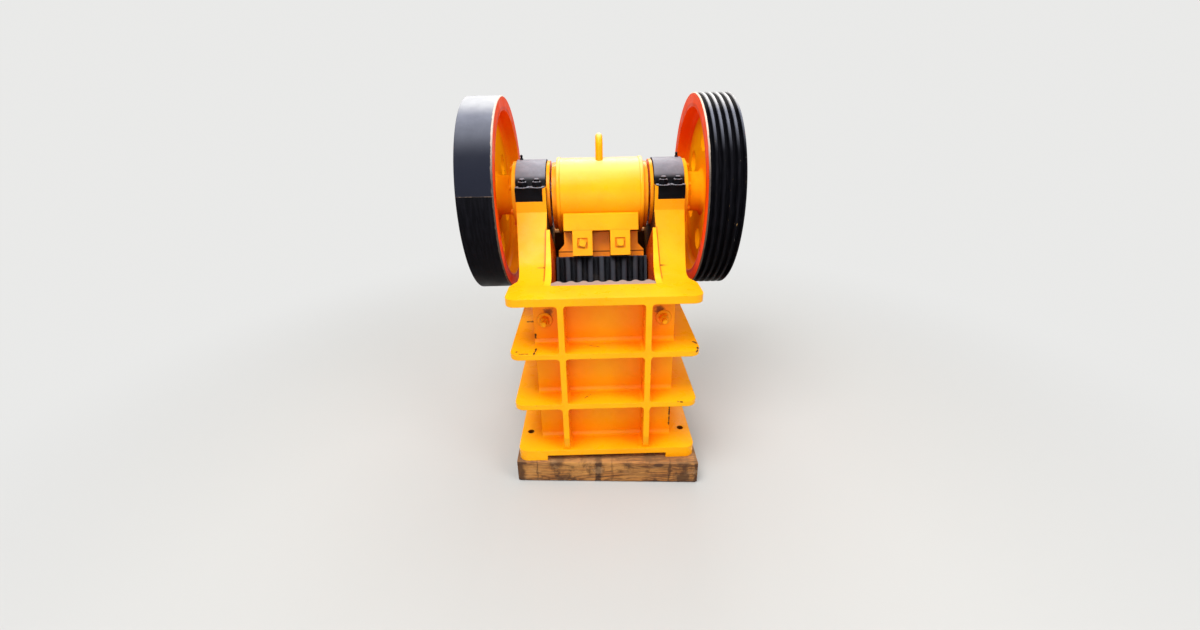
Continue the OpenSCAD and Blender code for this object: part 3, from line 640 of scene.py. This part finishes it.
def black_enamel(name, colour, dusty=1.0):
    """Gloss black brushed over the bearing caps, with a painted sky reflection as a pale grey on upward faces and
    brown rub marks at the edges."""
    material, at = surface(name)
    soft, edge = edge_wear(at, 0.0035)
    brush = noise(stretched(at, (5, 60, 60)), 2.0, 4)
    base = tint(step(brush, 0.3, 0.8), colour, tuple(v * 2.2 for v in colour))
    up = upward(at)
    # painted sky reflection: pale grey on upward faces, ending at a line above the bolts; the steep part below stays
    # black
    film = step(up, 0.52, 0.66) * step(up, 0.5, 1.0, 0.55, 1.0)
    dust = film * step(noise(at, 30, 6, 0.7), 0.3, 0.8, 0.68 * dusty, 0.9 * dusty)
    base = tint(dust, base, (0.36, 0.36, 0.41))
    rub = step(noise(at, 80, 5) + edge * 0.12, 0.72, 0.75)
    base = tint(rub * (edge * dusty), base, (0.2, 0.12, 0.06))
    height = scaled(brush, 0.35, noise(at, 40, 4) * 0.5)
    finish(base, step(brush, 0.3, 0.8, 0.3, 0.44), dented(height, 0.3, 0.002, soft), 0.04)
    return material


def paint(material, *patterns):
    """Gives a finish to solids through their own material slots. A star in a name stands for left and right."""
    for name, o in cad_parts.items():
        if any(fnmatch(name, pattern) for pattern in patterns):
            if not o.material_slots:
                o.data.materials.append(material)
            for slot in o.material_slots:
                slot.material = material


# Settings
def length_of(name, description, default):
    """A length that the user may change."""
    return FloatProperty(name=name, description=description, default=default, unit="LENGTH")


def colour_of(name, description, default):
    """A colour that the user may change."""
    return FloatVectorProperty(name=name, description=description, default=default, subtype="COLOR")


class CRUSHER_PG_finish(bpy.types.PropertyGroup):
    enamel: colour_of("Enamel", "Main enamel of the castings", (0.97, 0.43, 0.003))
    enamel_deep: colour_of("Enamel, thick", "The same enamel where it is thicker", (0.95, 0.37, 0.002))
    # painted shade: the deeper orange that the hollows take
    enamel_thick: colour_of("Enamel, in hollows", "The same enamel where it has run together", (0.98, 0.215, 0.001))
    web: colour_of("Wheel enamel", "Webs and hubs of the flywheels", (0.93, 0.345, 0.002))
    red: colour_of("Rim red", "Red-orange spray on the rim sides", (0.86, 0.07, 0.003))
    black: colour_of("Gloss black", "Bearing caps and flywheel treads", (0.003, 0.003, 0.0042))
    wear: FloatProperty(
        name="Wear", description="How many chips the enamel has at its edges", default=0.7, min=0.0, max=2.0)


class CRUSHER_PG_fasteners(bpy.types.PropertyGroup):
    cap_bolt: length_of("Cap bolts", "Width over the flats of the bearing cap bolts", 0.036)
    bay_bolt: length_of("Bay bolts", "Width over the flats of the nuts in the upper bays", 0.034)
    cover_bolt: length_of("Cover bolts", "Width over the flats of the cover bolts", 0.019)
    cover_bolts: IntProperty(
        name="Bolts in a cover", description="Number of bolts in each round cover", default=8, min=4)
    clamp_bolt: length_of("Clamp bolts", "Width of the square heads in the clamp lugs", 0.032)


class CRUSHER_PG_castings(bpy.types.PropertyGroup):
    fillet: length_of("Fillet", "Radius of the cast fillets between walls and shelves", 0.018)
    ring_width: length_of("Barrel ring width", "Width of the raised rings at the barrel's ends", 0.016)
    ring_rise: length_of("Barrel ring rise", "How far the rings stand out of the barrel", 0.004)
    coil_wire: length_of("Spring wire", "Radius of the tension spring's wire", 0.0065)
    coil_turns: FloatProperty(name="Spring turns", description="Turns of the tension spring", default=8.5, min=3.0)


class CRUSHER_PG_stage(bpy.types.PropertyGroup):
    lens: FloatProperty(
        name="Lens", description="Focal length of the camera on a 36 mm sensor, in millimetres", default=14.436)
    key: FloatProperty(
        name="Key lamp", description="Power of the large lamp above the front, in watts", default=225.0)
    sky: FloatProperty(name="Sky", description="Strength of the even light from all round", default=0.95)
    floor: colour_of("Floor", "Colour of the plain floor", (0.5, 0.5, 0.49))
    backdrop: colour_of("Backdrop", "Plain tone that is seen behind the crusher", (0.82, 0.82, 0.81))


# Operators
class CRUSHER_OT_paint(bpy.types.Operator):
    """Mix the finishes and paint every solid"""
    bl_idname = "crusher.paint"
    bl_label = "Paint the solids"

    def execute(self, context):
        c = context.scene.crusher_finish
        shelf2, shelf3, wall = BASE_TOP + 2 * BAY, BASE_TOP + BAY, WALL - FRONT

        def marks(*rows):
            """Scratches from one (x, back from the front, up) to another, over a height and with a width."""
            return [((x0, FRONT + back0, z + up0), (x1, FRONT + back1, z + up1), width)
                    for z, x0, back0, up0, x1, back1, up1, width in rows]

        def coat(name, *colours, wear=1.0, **more):
            """Enamel in the main colours, or in other ones."""
            return enamel(name, *(colours or (c.enamel, c.enamel_deep, c.enamel_thick)), c.wear * wear, **more)

        front_marks = marks(
            (shelf2, -0.33, 0.012, 0, -0.298, 0.011, 0, 0.0028),
            (shelf2, -0.343, 0.031, 0, -0.341, 0.029, 0, 0.005),
            (shelf2, -0.2685, 0.055, 0, -0.27, 0.03, 0, 0.0042),
            (shelf2, -0.272, 0.022, 0, -0.274, 0.005, 0, 0.0046),
            (shelf2, -0.2752, wall, 0.034, -0.2778, wall, 0.006, 0.005),
            (shelf2, 0.352, 0.082, 0, 0.361, 0.068, 0, 0.005),
            (shelf2, 0.359, 0.033, 0, 0.354, 0.008, -0.004, 0.005),
            (BASE_TOP, 0.2747, wall, 0.128, 0.2752, wall, 0.085, 0.0028),
            (BASE_TOP, 0.2752, wall, 0.078, 0.2757, wall, 0.038, 0.004),
            (shelf3, 0.29, 0.004, 0, 0.307, 0.001, -0.002, 0.0036),
            (shelf2, -0.06, 0.07, 0, -0.02, 0.055, 0, 0.0016),
            (shelf3, -0.085, 0.045, 0, -0.06, 0.072, 0, 0.0018))
        side_marks = marks((shelf2, -0.33, 0.309, 0, -0.318, 0.308, 0, 0.006),
                           (shelf2, -0.313, 0.308, 0, -0.308, 0.309, 0, 0.0065))
        # a dark patch above each bay bolt, towards the middle
        stains = [((side * 0.218, WALL, FEED_TOP - 0.098), 0.026) for side in (-1, 1)]
        paint(coat("enamel", scratches=side_marks, grime=(0.15, 0.5), seams=(WALL_HALF,)),
              "side_frame_*", "side_ribs_*", "rear_frame", "toggle_guides", "fixed_jaw_ledge")
        paint(coat("front_enamel", scratches=front_marks, stains=stains, calm=(BASE_TOP,)), "front_frame")
        paint(coat("foot_enamel", wear=0.6, holes=HOLES), "base_flange")
        # the cheek plates are a paler yellow as a painted highlight, and their faces that look to the side a dark
        # red as painted shade
        paint(coat("cheek_enamel", (0.98, 0.52, 0.01), c.enamel, c.enamel_deep, wear=0.6,
                   sideways=(0.7, 0.075, 0.001)), "cheek_plate_*")
        paint(coat("hub_enamel", (0.97, 0.44, 0.006), c.web, c.enamel_thick, wear=0.5, pooled=0.3,
                   under=(0.8, 0.075, 0.002), gloss=0.0), "hub_ring_*")
        paint(coat("outer_cover_enamel", (0.98, 0.53, 0.012), c.enamel, c.enamel_thick, wear=0.6, pooled=0.45,
                   under=(0.88, 0.11, 0.002)), "outer_cover_*")
        paint(coat("jaw_enamel", wear=0.7, grime=(0.7, 0.9), under=(0.88, 0.15, 0.002), bleached=0.65),
              "swing_jaw", "clamp_bar", "clamp_lug_*", "lifting_eye")
        paint(coat("cover_enamel", c.enamel_deep, c.web, c.enamel_thick, wear=0.8, under=(0.8, 0.085, 0.002)),
              "barrel_cover_*", "inner_cover_*")
        between = tuple(0.5 * (a + b) for a, b in zip(c.web, c.red))
        paint(wheel_enamel("wheel_enamel", c.web, between, c.red), "plain_flywheel", "grooved_flywheel")
        for name, node, *look in (("rim_enamel", "plain_flywheel_rim", 0.8, 1.0, 0.4),
                                  ("grooved_rim_enamel", "grooved_flywheel_rim", 0.95, 0.0, 0.26)):
            paint(rim_enamel(name, WHEEL_IN, c.web, c.red, (0.66, 0.046, 0.001), c.black, *look), node)
        paint(black_enamel("cap_black", c.black), "bearing_cap_*", "tension_spring")
        paint(jaw_iron("jaw_black", 0.0), "moving_jaw_plate")
        paint(jaw_iron("jaw_rubbed", 0.75), "fixed_jaw_plate")
        paint(jaw_iron("toggle_iron", 0.25), "toggle_plate", "toggle_block")
        paint(steel("turned_steel", (0.46, 0.45, 0.44), 0.28, 1.0, 0.35), "eccentric_shaft")
        paint(steel("ground_steel", (0.4, 0.39, 0.38), 0.34, 0.2, 0.55),
              "main_bearing_*", "pitman_bearing_*", "shim_pack", "tension_rod")
        smears = ((-0.37, 0.03, 0.85), (-0.296, 0.004, 0.6), (-0.038, 0.018, 0.9), (0.022, 0.007, 0.4),
                  (0.262, 0.006, 0.7), (0.374, 0.008, 0.8))
        knots = ((0.057, 0.058, 0.014), (0.268, 0.064, 0.008), (-0.215, 0.03, 0.01))
        paint(timber("timber_front_grain", (0.0, 0.62, 0.16), smears, knots), "timber_front")
        smears, knots = ((-0.2, 0.012, 0.7), (0.31, 0.02, 0.8)), ((0.12, 0.05, 0.012),)
        paint(timber("timber_rear_grain", (0.9, -0.3, 0.22), smears, knots), "timber_rear")
        # the added pieces have these
        coat("fillet_enamel", wear=0.0)
        coat("nut_enamel", wear=0.5, pooled=0.35)
        black_enamel("bolt_black", c.black, 0.15)
        black_enamel("cap_bolt_black", c.black, 1.1)
        return {"FINISHED"}


class CRUSHER_OT_cap_bolts(bpy.types.Operator):
    """Add two bolts in front of and behind each bearing cap, and the grease nipples on top"""
    bl_idname = "crusher.cap_bolts"
    bl_label = "Cap bolts and nipples"

    def execute(self, context):
        across = context.scene.crusher_fasteners.cap_bolt
        inner, outer, apart = 0.27, 0.332, 0.163
        nipple = [(0.0075, -0.002), (0.0075, 0.006), (0.005, 0.007), (0.005, 0.013), (0.0062, 0.0145),
                  (0.0062, 0.0175), (0.0035, 0.021), (0.0012, 0.022)]
        for side, name in SIDES:
            parts = []
            for x in (inner, outer):
                for y in (-apart, apart):
                    seat = (side * x, SHAFT_Y + y, CAP_FOOT_TOP)
                    parts += bolt(seat, (0, 0, 1), across, across * 0.62, stub=0.012, turn=30 * x + y)
            piece("cap_bolts_" + name, parts, "frame", "cap_bolt_black")
            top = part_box("bearing_cap_" + name)[1].z
            seat = (side * (CAP_OUT - 0.018), SHAFT_Y, top - 0.0006)
            parts = [lathe(nipple, seat, (0, 0, 1), 24)]
            piece("grease_nipple_" + name, parts, "frame", "bolt_black")
        return {"FINISHED"}


class CRUSHER_OT_cover_bolts(bpy.types.Operator):
    """Add the rings of bolts in the outer bearing covers and in the barrel's covers"""
    bl_idname = "crusher.cover_bolts"
    bl_label = "Cover bolts"

    def execute(self, context):
        f = context.scene.crusher_fasteners
        outer_r, outer_head, barrel_r, barrel_head = 0.132, 0.01, 0.134, 0.0028
        turns = (np.arange(f.cover_bolts) + 0.5) * 2 * np.pi / f.cover_bolts
        for side, name in SIDES:
            outer, barrel = [], []
            for t in turns:
                ring = np.array([0, math.cos(t), math.sin(t)])
                seat = np.array([side * OUTER_FACE, SHAFT_Y, SHAFT_Z]) + outer_r * ring
                outer += bolt(seat, (side, 0, 0), f.cover_bolt, outer_head, turn=t)
                seat = np.array([side * COVER_FACE, SHAFT_Y, BARREL_Z]) + barrel_r * ring
                barrel += bolt(seat, (side, 0, 0), f.cover_bolt, barrel_head, washer=False, turn=t)
            piece("outer_cover_bolts_" + name, outer, "frame", "cover_enamel")
            piece("barrel_cover_bolts_" + name, barrel, "swing_jaw", "bolt_black")
        return {"FINISHED"}


class CRUSHER_OT_bay_bolts(bpy.types.Operator):
    """Add the nuts in the small upper bays and the square bolts of the clamp lugs"""
    bl_idname = "crusher.bay_bolts"
    bl_label = "Bay and clamp bolts"

    def execute(self, context):
        f = context.scene.crusher_fasteners
        bay_x, below_flange = 0.234, 0.13
        lug_x, past_jaw, lug_face, square = 0.082, 0.056, -0.0295, math.pi / 4
        for side, name, turn in ((-1, "left", 0.3), (1, "right", 0.02)):
            seat = (side * bay_x, WALL, FEED_TOP - below_flange)
            parts = bolt(seat, (0, -1, 0), f.bay_bolt, f.bay_bolt * 0.75, stub=0.02, turn=0.2 + side)
            piece("bay_bolt_" + name, parts, "frame", "nut_enamel")
            seat = jaw_point(side * lug_x, JAW_LENGTH + past_jaw, lug_face)
            parts = bolt(seat, JAW_OUT, f.clamp_bolt, 0.014, washer=False, sides=4, turn=square + turn)
            piece("clamp_bolt_" + name, parts, "swing_jaw", "jaw_enamel")
        return {"FINISHED"}


class CRUSHER_OT_fillets(bpy.types.Operator):
    """Run cast fillets along the foot of each bay's wall"""
    bl_idname = "crusher.fillets"
    bl_label = "Casting fillets"

    def execute(self, context):
        r = context.scene.crusher_castings.fillet
        a = np.linspace(0, np.pi / 2, 9)
        # quarter hollow: (r - r sin a, r - r cos a) in (out, up), then the corner sunk a little into wall and shelf
        curve = np.stack([r * (1 - np.sin(a)), r * (1 - np.cos(a))], 1)
        outline = np.concatenate([curve, [[-0.001, r], [-0.001, -0.001], [r, -0.001]]])
        near_rib, past_rib = RIB_MIDDLE - RIB_HALF, RIB_MIDDLE + RIB_HALF
        parts = []
        for k in range(3):
            z = BASE_TOP + k * BAY
            for x0, x1 in ((-WALL_HALF, -past_rib), (-near_rib, near_rib), (past_rib, WALL_HALF)):
                parts.append(run(outline, (x1, WALL, z), (x0, WALL, z), (0, 0, 1)))
        piece("bay_fillets", parts, "frame", "fillet_enamel")
        return {"FINISHED"}


class CRUSHER_OT_barrel_rings(bpy.types.Operator):
    """Add the raised rings at both ends of the barrel"""
    bl_idname = "crusher.barrel_rings"
    bl_label = "Barrel rings"

    def execute(self, context):
        c = context.scene.crusher_castings
        w, h, r = c.ring_width, c.ring_rise, BARREL_R
        profile = [(r - 0.004, 0.0005), (r + h * 0.6, 0.0005), (r + h, 0.003), (r + h, w - 0.003),
                   (r + h * 0.5, w), (r - 0.004, w)]
        parts = []
        for side in (-1, 1):
            parts.append(lathe(profile, (side * BARREL_HALF, SHAFT_Y, BARREL_Z), (-side, 0, 0), 128, closed=True))
        piece("barrel_rings", parts, "swing_jaw", "jaw_enamel")
        return {"FINISHED"}


class CRUSHER_OT_wheel_keys(bpy.types.Operator):
    """Add the keys that hold the hubs on the shaft"""
    bl_idname = "crusher.wheel_keys"
    bl_label = "Wheel keys"

    def execute(self, context):
        half, low, high = 0.009, 0.038, 0.057
        key = [(-half, low), (half, low), (half, high), (-half, high)]
        for side, name in SIDES:
            start, end = ((side * (HUB_FACE + out), SHAFT_Y, SHAFT_Z) for out in (-0.02, 0.006))
            parts = [run(key, start, end, (0, 0, 1))]
            piece("wheel_key_" + name, parts, "rotor", "turned_steel")
        return {"FINISHED"}


class CRUSHER_OT_tension_spring(bpy.types.Operator):
    """Wind the tension spring in place of its plain solid"""
    bl_idname = "crusher.tension_spring"
    bl_label = "Tension spring"

    def execute(self, context):
        c = context.scene.crusher_castings
        lo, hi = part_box("tension_spring")
        # the rod rises from its pin at the swing jaw through the rear wall, each as (back from the front, up)
        pin_at, wall_at = (0.4541, 0.1737), (0.865, 0.216)
        tilt = math.atan2(wall_at[1] - pin_at[1], wall_at[0] - pin_at[0])
        way = np.array([0, math.cos(tilt), math.sin(tilt)])
        pin = np.array([0, FRONT + 0.45412, 0.17372])
        solid_r = 0.036
        middle = ((lo.y + hi.y) / 2 - pin[1]) / math.cos(tilt)
        half = ((hi.y - lo.y) - 2 * solid_r * math.sin(tilt)) / math.cos(tilt) / 2
        first, last = middle - half, middle + half
        wire, turns, coil_r, cup = c.coil_wire, c.coil_turns, 0.0265, 0.008
        t = np.linspace(0, 1, int(turns * 36))
        # the pitch is small at both ends, so that the end turns lie flat
        pitch = np.clip((t - 0.09) / 0.82, 0, 1)
        along = first + cup + wire + (last - first - cup - 2 * wire) * pitch
        _, _, d = axes(way)
        profile = [(0.015, 0), (0.0355, 0), (0.0355, 0.007), (0.015, 0.007)]
        seat = lathe(profile, pin + (first + 0.0004) * d, d, 48, closed=True)
        parts = [coil(pin, way, along, coil_r, turns, wire), seat]
        o = piece("tension_coil", parts, "frame", "cap_black")
        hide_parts("tension_spring")
        return {"FINISHED"}


class CRUSHER_OT_bearers(bpy.types.Operator):
    """Cut the two timber bearers with uneven sawn faces"""
    bl_idname = "crusher.bearers"
    bl_label = "Timber bearers"

    def execute(self, context):
        for node, skew, seed in (("timber_front", 0.042, 4), ("timber_rear", 0.0, 9)):
            lo, hi = (np.array(v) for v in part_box(node))
            depth = hi[1] - lo[1] - skew
            # cross-section: a square |y|^n + |z|^n = 1 with n = 16, whose corners are a little round
            t = circle(96)
            c, s = np.cos(t), np.sin(t)
            ring = np.stack([c, s], 1) / ((np.abs(c) ** 16 + np.abs(s) ** 16) ** (1 / 16))[:, None]
            across, up = ring[None, :, 0], ring[None, :, 1]
            # the ends shrink a little over the last 0.6 percent, as a worn edge
            f = np.linspace(0, 1, 90)
            shrink = (1 - 0.035 * np.clip(1 - np.minimum(f, 1 - f) / 0.006, 0, 1) ** 2)[:, None]
            middle = lo[1] + depth / 2 + skew * (1 - f)
            half_y, half_z = depth / 2, (hi[2] - lo[2]) / 2
            p = np.empty((len(f), len(t), 3))
            p[..., 0] = (lo[0] + (hi[0] - lo[0]) * f)[:, None]
            p[..., 1] = middle[:, None] + half_y * shrink * across
            p[..., 2] = lo[2] + half_z + half_z * shrink * up
            # each face is up to 1.6 mm hollow or full, but never outside the solid; the top and underside stay
            # flat where they carry
            dent = 0.0008 * (1 + waves(p.reshape(-1, 3), seed, (9, 22, 26)).reshape(p.shape[:2]))
            p[..., 1] -= np.sign(across) * dent * (np.abs(across) > 0.93)
            o = piece(node + "_sawn", [grid(p)], "frame", node + "_grain", sharp=50)
            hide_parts(node)
        return {"FINISHED"}


class CRUSHER_OT_stage(bpy.types.Operator):
    """Set the floor, the lamps and the camera"""
    bl_idname = "crusher.stage"
    bl_label = "Stage"

    @staticmethod
    def seen(tree):
        """1 for rays that come from the camera, a mirror-like surface or glass."""
        ray = make(tree, "LightPath").outputs
        straight = most(Wire(ray["Is Camera Ray"]), Wire(ray["Is Glossy Ray"]))
        return most(straight, Wire(ray["Is Transmission Ray"]))

    def floor(self, colour, backdrop):
        """A round floor of paper. It takes the object's shadow near it and turns into an even pale tone further out.
        Its profile of (radius, height) is flat to 6 m, then a quarter turn of 3 m radius up to a wall."""
        material, at = surface("floor_paper")
        paper = put(at, "BsdfDiffuse", {"Color": colour})
        plain = put(at, "Emission", {"Color": backdrop, "Strength": 1.0})
        shown = self.seen(at) * step(vector("LENGTH", at), 1.1, 3.2)
        both = put(at, "MixShader", {0: shown, 1: paper, 2: plain})
        make(at, "OutputMaterial", {"Surface": both})
        a = np.linspace(0, np.pi / 2, 16)
        curve = np.stack([6 + 3 * np.sin(a), 3 - 3 * np.cos(a)], 1)
        profile = np.concatenate([[[0.01, 0], [3, 0]], curve, [[9, 7.5]]])
        t = circle(96)
        r, z = profile[:, :1], np.repeat(profile[:, 1:], len(t), 1)
        points, faces = grid(np.stack([r * np.cos(t), r * np.sin(t), z], -1), cap=False)
        floor = smooth("floor", points, faces + [list(range(len(t)))], material)

    def sky(self, scene, strength, backdrop):
        """Even light from all round, and a plain tone where the camera looks past the object."""
        scene.world = bpy.data.worlds.new("sky")
        tree = bare(scene.world)
        even = put(tree, "Background", {"Color": (1.0, 0.985, 0.96), "Strength": strength})
        plain = put(tree, "Background", {"Color": backdrop, "Strength": 1.0})
        both = put(tree, "MixShader", {0: self.seen(tree), 1: even, 2: plain})
        make(tree, "OutputWorld", {"Surface": both})

    def lamps(self, key):
        """Four round lamps, each with name, place, aim, size and power."""
        for name, place, aim, size, power in (
            ("key", (-1.2, -2.2, 5.4), (0, 0, 0.8), 3.2, key),
            ("fill", (3.4, -3.0, 3.8), (0, 0, 0.8), 2.6, key * 0.35),
            ("front", (-0.6, -4.6, 1.9), (0, 0, 0.55), 2.4, key * 0.17),
            ("rear", (0.5, 4.0, 4.6), (0, 0, 0.8), 3.0, key * 0.55),
        ):
            light = bpy.data.lights.new(name, "AREA")
            light.shape, light.size, light.energy = "DISK", size, power
            lamp = placed(name, light)
            lamp.location = place
            lamp.rotation_euler = (Vector(aim) - Vector(place)).to_track_quat("-Z", "Y").to_euler()

    def camera(self, scene, lens):
        """The camera at the place that was fitted to the picture's outlines."""
        pitch, yaw, roll = 0.4174, 0.0139, -0.0184
        place = (-0.0402, FRONT - 1.6177, 1.4889)
        ahead = Vector((math.sin(yaw) * math.cos(pitch), math.cos(yaw) * math.cos(pitch), -math.sin(pitch)))
        level = Vector((math.cos(yaw), -math.sin(yaw), 0))
        lift = level.cross(ahead)
        right = math.cos(roll) * level + math.sin(roll) * lift
        top = -math.sin(roll) * level + math.cos(roll) * lift
        data = bpy.data.cameras.new("camera")
        data.lens, data.sensor_width, data.sensor_fit = lens, 36.0, "HORIZONTAL"
        data.clip_start, data.clip_end = 0.05, 100
        scene.camera = placed("camera", data)
        turned = Matrix((right, top, -ahead)).transposed().to_4x4()
        scene.camera.matrix_world = Matrix.Translation(place) @ turned

    def execute(self, context):
        scene, s = context.scene, context.scene.crusher_stage
        self.floor(s.floor, s.backdrop)
        self.sky(scene, s.sky, s.backdrop)
        self.lamps(s.key)
        self.camera(scene, s.lens)
        scene.view_settings.view_transform = "Standard"
        return {"FINISHED"}


OPERATORS = (
    CRUSHER_OT_paint, CRUSHER_OT_cap_bolts, CRUSHER_OT_cover_bolts, CRUSHER_OT_bay_bolts, CRUSHER_OT_fillets,
    CRUSHER_OT_barrel_rings, CRUSHER_OT_wheel_keys, CRUSHER_OT_tension_spring, CRUSHER_OT_bearers, CRUSHER_OT_stage)
GROUPS = {"crusher_finish": CRUSHER_PG_finish, "crusher_fasteners": CRUSHER_PG_fasteners,
          "crusher_castings": CRUSHER_PG_castings, "crusher_stage": CRUSHER_PG_stage}


class CRUSHER_PT_panel(bpy.types.Panel):
    """Lists the sizes, the colours and the steps"""
    bl_idname = "CRUSHER_PT_panel"
    bl_label = "Jaw crusher"
    bl_space_type = "VIEW_3D"
    bl_region_type = "UI"
    bl_category = "Crusher"

    def draw(self, context):
        for group_name, group_class in GROUPS.items():
            box, group = self.layout.box(), getattr(context.scene, group_name)
            for name in group_class.__annotations__:
                box.prop(group, name)
        for operator in OPERATORS:
            self.layout.operator(operator.bl_idname)


def register():
    for cls in (*GROUPS.values(), *OPERATORS, CRUSHER_PT_panel):
        bpy.utils.register_class(cls)
    for name, group in GROUPS.items():
        setattr(bpy.types.Scene, name, PointerProperty(type=group))


def unregister():
    for name in GROUPS:
        delattr(bpy.types.Scene, name)
    for cls in reversed((*GROUPS.values(), *OPERATORS, CRUSHER_PT_panel)):
        bpy.utils.unregister_class(cls)


def main():
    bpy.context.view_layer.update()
    register()
    for operator in OPERATORS:
        group, name = operator.bl_idname.split(".")
        getattr(getattr(bpy.ops, group), name)()
    bpy.context.view_layer.update()


if __name__ == "__main__":
    main()
